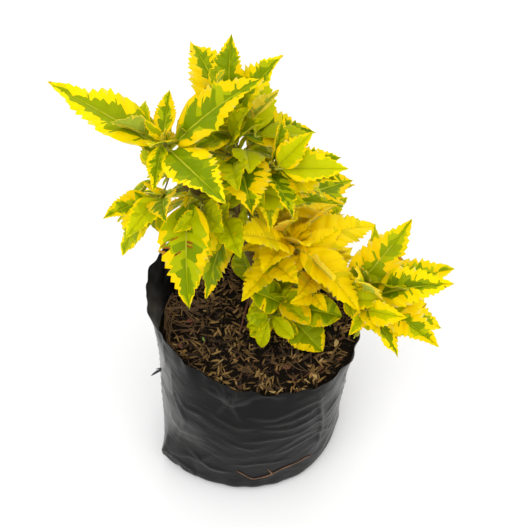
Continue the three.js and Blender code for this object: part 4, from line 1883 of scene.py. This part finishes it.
        # Painted highlights: the crests of the wrinkles are painted paler
        pale = strength * (0.3 * np.clip(bands - 0.8, 0, 1) + 0.14 * np.clip(fine - 0.8, 0, 1))
        for fold in self.folds:
            lift, rub_and_sheen = fold.at(turn, z)
            out += lift
            pale += rub_and_sheen
        streaks = 0.6 + 0.7 * rough(east * 4, north * 4, slant / 24 + warp, 4) + 0.6 * (bands - 0.4)
        # Painted sheen at the film's sides, streaked like dust
        for smear in self.smears:
            pale += smear.at(turn, z) * np.clip(streaks, 0.1, 1.2)
        near_rim = np.clip((share - 0.9) / 0.1, 0, 1)
        flute = 0.7 * np.sin(angle * 19 + 2.6 * np.sin(angle * 3) + 1.5)
        flute += 0.42 * np.sin(angle * 31 + 2 * np.sin(angle * 5))
        out += near_rim**1.4 * (flute + 1.2 * rough(east * 5, north * 5, 3, 2))
        pleat = np.sin(angle * 23 + 3 * np.sin(angle * 4))
        out += np.clip(1 - z / 16, 0, 1) * 0.5 * pleat
        return out * np.clip(z / 3 + 0.15, 0, 1), np.clip(pale, 0, 1)

    def outside(self, turn: Array, z: Array) -> Array:
        """The radius of the film's outer face by directions in degrees and heights.

        Args:
            turn: The directions in degrees.
            z: The heights.

        Returns:
            The radii.
        """
        angle = np.radians(turn)
        rim = self.pot.rim_height(angle)
        return self.pot.wall(angle, np.minimum(z / rim, 1.0)) + self.shape(turn, z, rim)[0] - self.inset

    def build(self) -> None:
        """Builds the film and the torn tab on it."""
        rings = self.foot_rings + self.wall_rings
        piece = sleeve("bag_film_shell", self.sides, rings, False)
        turn = np.arange(self.sides) * 360 / self.sides
        angle = np.radians(turn)
        east, north = np.cos(angle), np.sin(angle)
        rim = self.pot.rim_height(angle)
        top = rim + 0.9 * rough(east * 6, north * 6, 1, 3) + 0.5 * np.sin(angle * 27)
        edge = self.outside(turn, np.full(self.sides, self.round_height))
        r, z, pale = (np.zeros((rings, self.sides)) for _ in range(3))
        for i in range(self.foot_rings):
            share = i / (self.foot_rings - 1)
            if share < 0.6:
                r[i] = (edge - self.round_height) * max(share / 0.6, 0.004)
                z[i] = np.maximum(0.25 + 0.25 * rough(east * r[i] / 12, north * r[i] / 12, 5, 2), 0)
            else:
                bend = (share - 0.6) / 0.4 * math.pi / 2
                r[i] = edge - self.round_height * (1 - math.sin(bend))
                z[i] = self.round_height * (1 - math.cos(bend))
        wall = slice(self.foot_rings, None)
        rise = (np.arange(self.wall_rings)[:, None] + 1) / self.wall_rings
        z[wall] = self.round_height + (top - self.round_height) * rise
        out, pale[wall] = self.shape(turn[None, :], z[wall], rim[None, :])
        r[wall] = self.pot.wall(angle[None, :], np.minimum(z[wall] / rim, 1)) + out - self.inset
        give_points(piece, np.stack([r * east, r * north, z], -1).reshape(-1, 3))
        # Stores the paleness: dust and rub, with painted sheen and painted highlights
        marks = piece.data.attributes.new(WEAR_AND_SHEEN, "FLOAT", "POINT")
        marks.data.foreach_set("value", pale.ravel())
        with editing(piece):
            bpy.ops.mesh.select_all(action="DESELECT")
        for vertex in piece.data.vertices[: self.sides]:
            vertex.select = True
        bpy.ops.object.mode_set(mode="EDIT")
        bpy.ops.mesh.select_mode(type="VERT")
        bpy.ops.mesh.merge(type="CENTER")
        turn_outward(piece)
        panel = piece.data.polygons[len(piece.data.polygons) // 2]
        if panel.normal.xy.dot(panel.center.xy) < 0:
            piece.data.flip_normals()
        wall_of = piece.modifiers.new("film", "SOLIDIFY")
        wall_of.thickness = self.thickness * MM
        wall_of.offset = -1
        bpy.ops.object.modifier_apply(modifier="film")
        finish_piece(piece, self.film, "bag_film", "pot_bag", angle=75)
        self.tab_piece()

    def tab_piece(self) -> None:
        """Builds the torn tab that sticks out at the left."""
        towards, z = -160.0, 68.0
        heap = Heap("bag_film_tab")
        for size, lean, rise in ((11.0, 0.1, 0.0), (7.0, -0.5, 1.4)):
            points, faces = sliver(size, size * 0.42, 0.5, 0.8)
            points = turned(points + (size / 2 - 2.5, 0, 0), math.radians(towards) + lean, 0.25, 0.5)
            r = float(self.outside(np.array([towards]), np.array([z]))[0])
            angle = math.radians(towards)
            heap.add(points + (r * math.cos(angle), r * math.sin(angle), z + rise), faces, 0)
        filed(heap.build([self.film.material()]), "bag_film", "pot_bag")


@dataclass
class Soil:
    """The soil: a dark uneven bed, husks, shavings, crumbs, root fibres and small scraps.

    Attributes:
        pot: The outline.
        bag: The bag that holds it.
        bed: The bed's finish.
        husks: How many husks and shavings are tried.
        crumbs: How many crumbs lie on it.
        fibres: How many root fibres lie on it.
        husk_tones: The colours of husks and shavings.
        root_way: The ways of the root on the film, by degrees and height.
        husk_shares: How often each colour is taken after those before it.
    """

    pot: Pot
    bag: Bag
    bed: Finish = Finish(
        "soil_bed", (24, 17, 10), (12, 9, 6), patch=300, rough=0.95, relief=0.0012, grain=900, gloss=0.1
    )
    husks: int = 1750
    crumbs: int = 1100
    fibres: int = 44
    husk_tones: tuple[tuple[int, int, int], ...] = (
        (148, 116, 66), (114, 87, 48), (88, 65, 36), (66, 48, 27), (44, 32, 20), (184, 154, 98),
        (96, 62, 40),
    )
    root_way: tuple[tuple[Pair, ...], ...] = (
        ((-98.5, 27), (-94, 20.5), (-89.8, 16.5), (-86.4, 18.4), (-77.2, 24), (-70, 25), (-62.7, 24),
         (-57.7, 20.5)),
        ((-83.4, 28.5), (-81.8, 23), (-81.3, 18.8)),
    )
    husk_shares: tuple[float, ...] = (0.2, 0.32, 0.38, 0.4, 0.7, 0.45, 1.0)

    def __post_init__(self) -> None:
        """Measures the film once, where the soil meets it."""
        self.turns = np.arange(-180.0, 181.0)
        self.edge = self.bag.outside(self.turns, np.full(len(self.turns), 96.5)) - 0.9

    def height(self, x: float, y: float) -> float:
        """The height of the bed, with its clumps.

        Args:
            x: The place to the right.
            y: The place away from the camera.

        Returns:
            The height.
        """
        base = float(self.pot.soil(np.array(x), np.array(y)))
        trunk = TRUNK.route[0]
        away = math.hypot(x - trunk[0], y - trunk[1])
        calm = 1 - math.exp(-((away / 9) ** 2))
        clumps = 1.5 * rough(x / 13, y / 13, 2, 2) + 1.2 * rough(x / 4.5, y / 4.5, 7, 2)
        wall = math.hypot(x, y) / 72
        return float(base + calm * clumps + 0.5 * (1 - calm) - 2.2 * max(0.0, wall - 0.86) / 0.14)

    def edge_at(self, turn: float) -> float:
        """How far the soil reaches in a direction in radians."""
        degrees = (math.degrees(turn) + 180) % 360 - 180
        return float(np.interp(degrees, self.turns, self.edge))

    def bed_piece(self) -> None:
        """Builds the bed, closed below."""
        sides, rings, skirt = 176, 62, 6
        piece = sleeve("soil_bed", sides, rings, True)
        turn = np.arange(sides) * 2 * math.pi / sides
        points = np.zeros((rings, sides, 3))
        for i in range(skirt):
            z = mix(82, 95, i / (skirt - 1))
            r = self.bag.outside(np.degrees(turn), np.full(sides, z)) - 0.9
            points[i] = np.stack([r * np.cos(turn), r * np.sin(turn), np.full(sides, z)], 1)
        for j in range(sides):
            for i in range(skirt, rings):
                r = self.edge_at(turn[j]) * (1 - (i - skirt + 1) / (rings - skirt + 1)) + 0.05
                x, y = r * math.cos(turn[j]), r * math.sin(turn[j])
                points[i, j] = (x, y, self.height(x, y) + 0.25 * float(rough(x / 1.3, y / 1.3, 1, 1)))
        give_points(piece, points.reshape(-1, 3))
        turn_outward(piece)
        finish_piece(piece, self.bed, "soil", "soil")

    def spot(self, stream: Seeded, margin: float) -> Pair:
        """A place on the soil, off the film and off the trunk.

        Args:
            stream: The numbers that it comes from.
            margin: How far off the film it is.

        Returns:
            The place.
        """
        while True:
            x, y = stream.between(-80, 80), stream.between(-80, 80)
            inside = math.hypot(x, y) < self.edge_at(math.atan2(y, x)) - margin
            trunk = TRUNK.route[0]
            if inside and math.hypot(x - trunk[0], y - trunk[1]) > 6:
                return x, y

    def lay(self, heap: Heap, spot: Pair, made: Mesh, turns: Point, rise: float, kind: int) -> None:
        """Lays a sliver on the soil.

        Args:
            heap: Where it goes.
            spot: Its place.
            made: Its vertices and faces.
            turns: Its yaw, pitch and roll in radians.
            rise: How far over the bed its middle is.
            kind: Its colour.
        """
        heap.add(turned(made[0], *turns) + (*spot, self.height(*spot) + rise), made[1], kind)

    def litter_pieces(self) -> None:
        """Builds the husks and shavings, and the crumbs apart from them."""
        finishes = [Finish(f"husk_{i}", shade, rough=0.75, relief=0.0003, grain=1500, gloss=0.25).material()
                    for i, shade in enumerate(self.husk_tones)]
        heap, stream = Heap("soil_husks"), Seeded(77)
        for number in range(self.husks):
            kind = 0
            while stream.between(0, 1) > self.husk_shares[kind]:
                kind += 1
            broad = number % 15 == 0
            length = stream.between(7, 12) if broad else stream.between(3.8, 9.0)
            width = stream.between(2.0, 3.3) if broad else stream.between(0.8, 1.9)
            x, y = self.spot(stream, 4.5)
            if float(rough(x / 9, y / 9, 3, 2)) < stream.between(-0.75, 0.1):
                continue
            husk = sliver(length, width, stream.between(0.35, 0.9), stream.between(-0.3, 0.9))
            turns = (stream.between(0, 6.28), stream.between(-0.42, 0.42), stream.between(-0.6, 0.6))
            self.lay(heap, (x, y), husk, turns, stream.between(-0.2, 1.5), kind)
        filed(heap.build(finishes, smooth=False), "soil")
        heap, stream = Heap("soil_crumbs"), Seeded(78)
        for _ in range(self.crumbs):
            spot, size = self.spot(stream, 2.5), stream.between(0.5, 1.7)
            turns = (stream.between(0, 6.28), stream.between(-1, 1), stream.between(-1, 1))
            crumb = sliver(size * 1.3, size, size * 0.8, 0.0)
            self.lay(heap, spot, crumb, turns, size * 0.2, 4 if stream.draw() > -0.2 else 3)
        filed(heap.build(finishes, smooth=False), "soil")

    def fibre_piece(self) -> None:
        """Builds the curled root fibres, thick at the left of the bag."""
        heap = Heap("soil_fibres")
        stream = Seeded(41)
        for number in range(self.fibres):
            left = number < self.fibres * 0.45
            while True:
                x, y = self.spot(stream, 9)
                if not left or (x < -50 and 4 < y < 44):
                    break
            heading, curl = stream.between(0, 6.28), stream.between(0.14, 0.36) * (1 if number % 2 else -1)
            step = stream.between(1.6, 2.6)
            count = 34 if left else 12
            line = []
            for k in range(count):
                arch = math.sin(math.pi * k / (count - 1)) * (0.24 * stream.draw() + 0.64)
                line.append((x, y, self.height(x, y) + 0.8 + (4.5 if left else 0.8) * arch))
                heading += curl * (0.5 + stream.draw())
                new_x, new_y = x + step * math.cos(heading), y + step * math.sin(heading)
                if math.hypot(new_x, new_y) > 66 or (left and new_x > -40):
                    heading += 1.2
                    new_x, new_y = x * 0.985, y * 0.985
                x, y = new_x, new_y
            size = stream.between(0.2, 0.42) if left else stream.between(0.16, 0.3)
            heap.add(*tube(smoothed(np.array(line)), np.linspace(size, size * 0.45, count), 4), 0)
        fibre = Finish("root_fibre", (112, 84, 54), rough=0.8, relief=0.0001)
        filed(heap.build([fibre.material()]), "soil")

    def scrap_pieces(self) -> None:
        """Builds the dead twig, the weeds, the leaf scraps and the root on the film."""
        dead = Finish("dead_twig", (112, 66, 44), (70, 44, 32), patch=300, rough=0.75, relief=0.0003)
        weed = Finish("weed", (112, 140, 40), (150, 160, 50), patch=300, rough=0.5, relief=0.0001)
        root = Finish("clinging_root", (110, 80, 56), (82, 60, 46), patch=260, rough=0.7, relief=0.0003)
        finishes = [dead.material(), weed.material(), root.material()]
        heap = Heap("soil_scraps")
        line = []
        for share in np.linspace(0, 1, 14):
            x, y = mix(-3.4, -10.3, share), mix(16.3, -11.9, share) + 1.5 * math.sin(5 * share)
            line.append((x, y, self.height(x, y) + 2.2 - 1.1 * share))
        heap.add(*tube(np.array(line), np.linspace(1.1, 0.6, 14), 9), 0)
        stream = Seeded(19)
        for number in range(9):
            x, y = self.spot(stream, 12)
            if number < 5:
                x, y = -6 + stream.between(-3, 3), -1 + stream.between(-4, 4)
            size, yaw = stream.between(2.2, 3.8), stream.between(0, 6.28)
            self.lay(heap, (x, y), sliver(size, size * 0.5, 0.25, 0.3), (yaw, -0.7, 0.0), size * 0.4, 1)
        for x, y, size, yaw in ((-46, -3, 7, 0.6), (-52, -25, 8, 2.1), (-40, 12, 6, 1.2), (22, -44, 6, 0.2)):
            self.lay(heap, (x, y), sliver(size, size * 0.5, 0.4, 1.2), (yaw, 0.25, 0.3), 1.2, 0)
        for way in self.root_way:
            turns, heights = np.array(way).T
            share, even = np.linspace(0, 1, len(way)), np.linspace(0, 1, 40)
            turn = smoothed(np.interp(even, share, turns))
            z = smoothed(np.interp(even, share, heights)) + 0.5 * np.sin(even * 23)
            r = self.bag.outside(turn, z) + 0.3
            middle = np.stack([r * np.cos(np.radians(turn)), r * np.sin(np.radians(turn)), z], 1)
            heap.add(*tube(middle, 0.56 - 0.5 * np.abs(even - 0.5) + 0.1 * np.sin(even * 31), 7), 2)
        filed(heap.build(finishes), "soil")

    def build(self) -> None:
        """Builds the whole of it."""
        self.bed_piece()
        self.litter_pieces()
        self.fibre_piece()
        self.scrap_pieces()


@dataclass
class Studio:
    """The floor, the light and the photograph's camera."""

    view: View
    floor: Finish = Finish("studio_floor", (246, 246, 246), rough=0.9, gloss=0.1)

    def lamp(self, name: str, place: Point, size: float, power: float) -> None:
        """A soft square light that looks at the plant.

        Args:
            name: Its name.
            place: Where it hangs, in metres.
            size: How long its side is.
            power: Its power in watts.
        """
        light = bpy.data.lights.new(name, "AREA")
        light.size = size
        light.energy = power
        made = bpy.data.objects.new(name, light)
        made.location = place
        made.rotation_euler = (Vector((0, 0, 0.12)) - Vector(place)).to_track_quat("-Z", "Y").to_euler()
        bpy.context.scene.collection.objects.link(made)

    def build(self) -> None:
        """Sets the scene."""
        scene = bpy.context.scene
        scene.view_settings.view_transform = "Standard"
        select_nothing()
        bpy.ops.mesh.primitive_plane_add(size=60, location=(0, 0, 0))
        ground = bpy.context.object
        ground.name = "studio_floor"
        ground.data.materials.append(self.floor.material())
        world = bpy.data.worlds.new("studio_air")
        world.use_nodes = True
        world.node_tree.nodes["Background"].inputs["Color"].default_value = (1, 1, 1, 1)
        world.node_tree.nodes["Background"].inputs["Strength"].default_value = 1.0
        scene.world = world
        self.lamp("key_light", (-0.55, -0.75, 1.25), 1.0, 6.0)
        self.lamp("fill_light", (0.9, -0.5, 0.8), 1.2, 3.2)
        self.lamp("back_light", (0.2, 1.1, 1.0), 1.0, 3)
        camera = bpy.data.cameras.new("studio_camera")
        camera.lens = self.view.lens
        camera.sensor_width = self.view.sensor
        eye = bpy.data.objects.new("studio_camera", camera)
        eye.location = (np.array(self.view.target) + self.view.back * self.view.distance) * MM
        eye.rotation_euler = (math.radians(90 - self.view.elevation), 0, 0)
        scene.collection.objects.link(eye)
        scene.camera = eye


def main() -> None:
    """Builds every piece."""
    logging.basicConfig(level=logging.INFO, format="%(name)s %(message)s")
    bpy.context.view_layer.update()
    pot = Pot()
    view = View()
    growth = Growth(pot, view)
    LOG.info("%d leaves grown", len(growth.placed))
    bag = Bag(pot)
    Studio(view).build()
    bag.build()
    Soil(pot, bag).build()
    Wood(growth).build()
    Foliage(growth).build()
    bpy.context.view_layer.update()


if __name__ == "__main__":
    main()
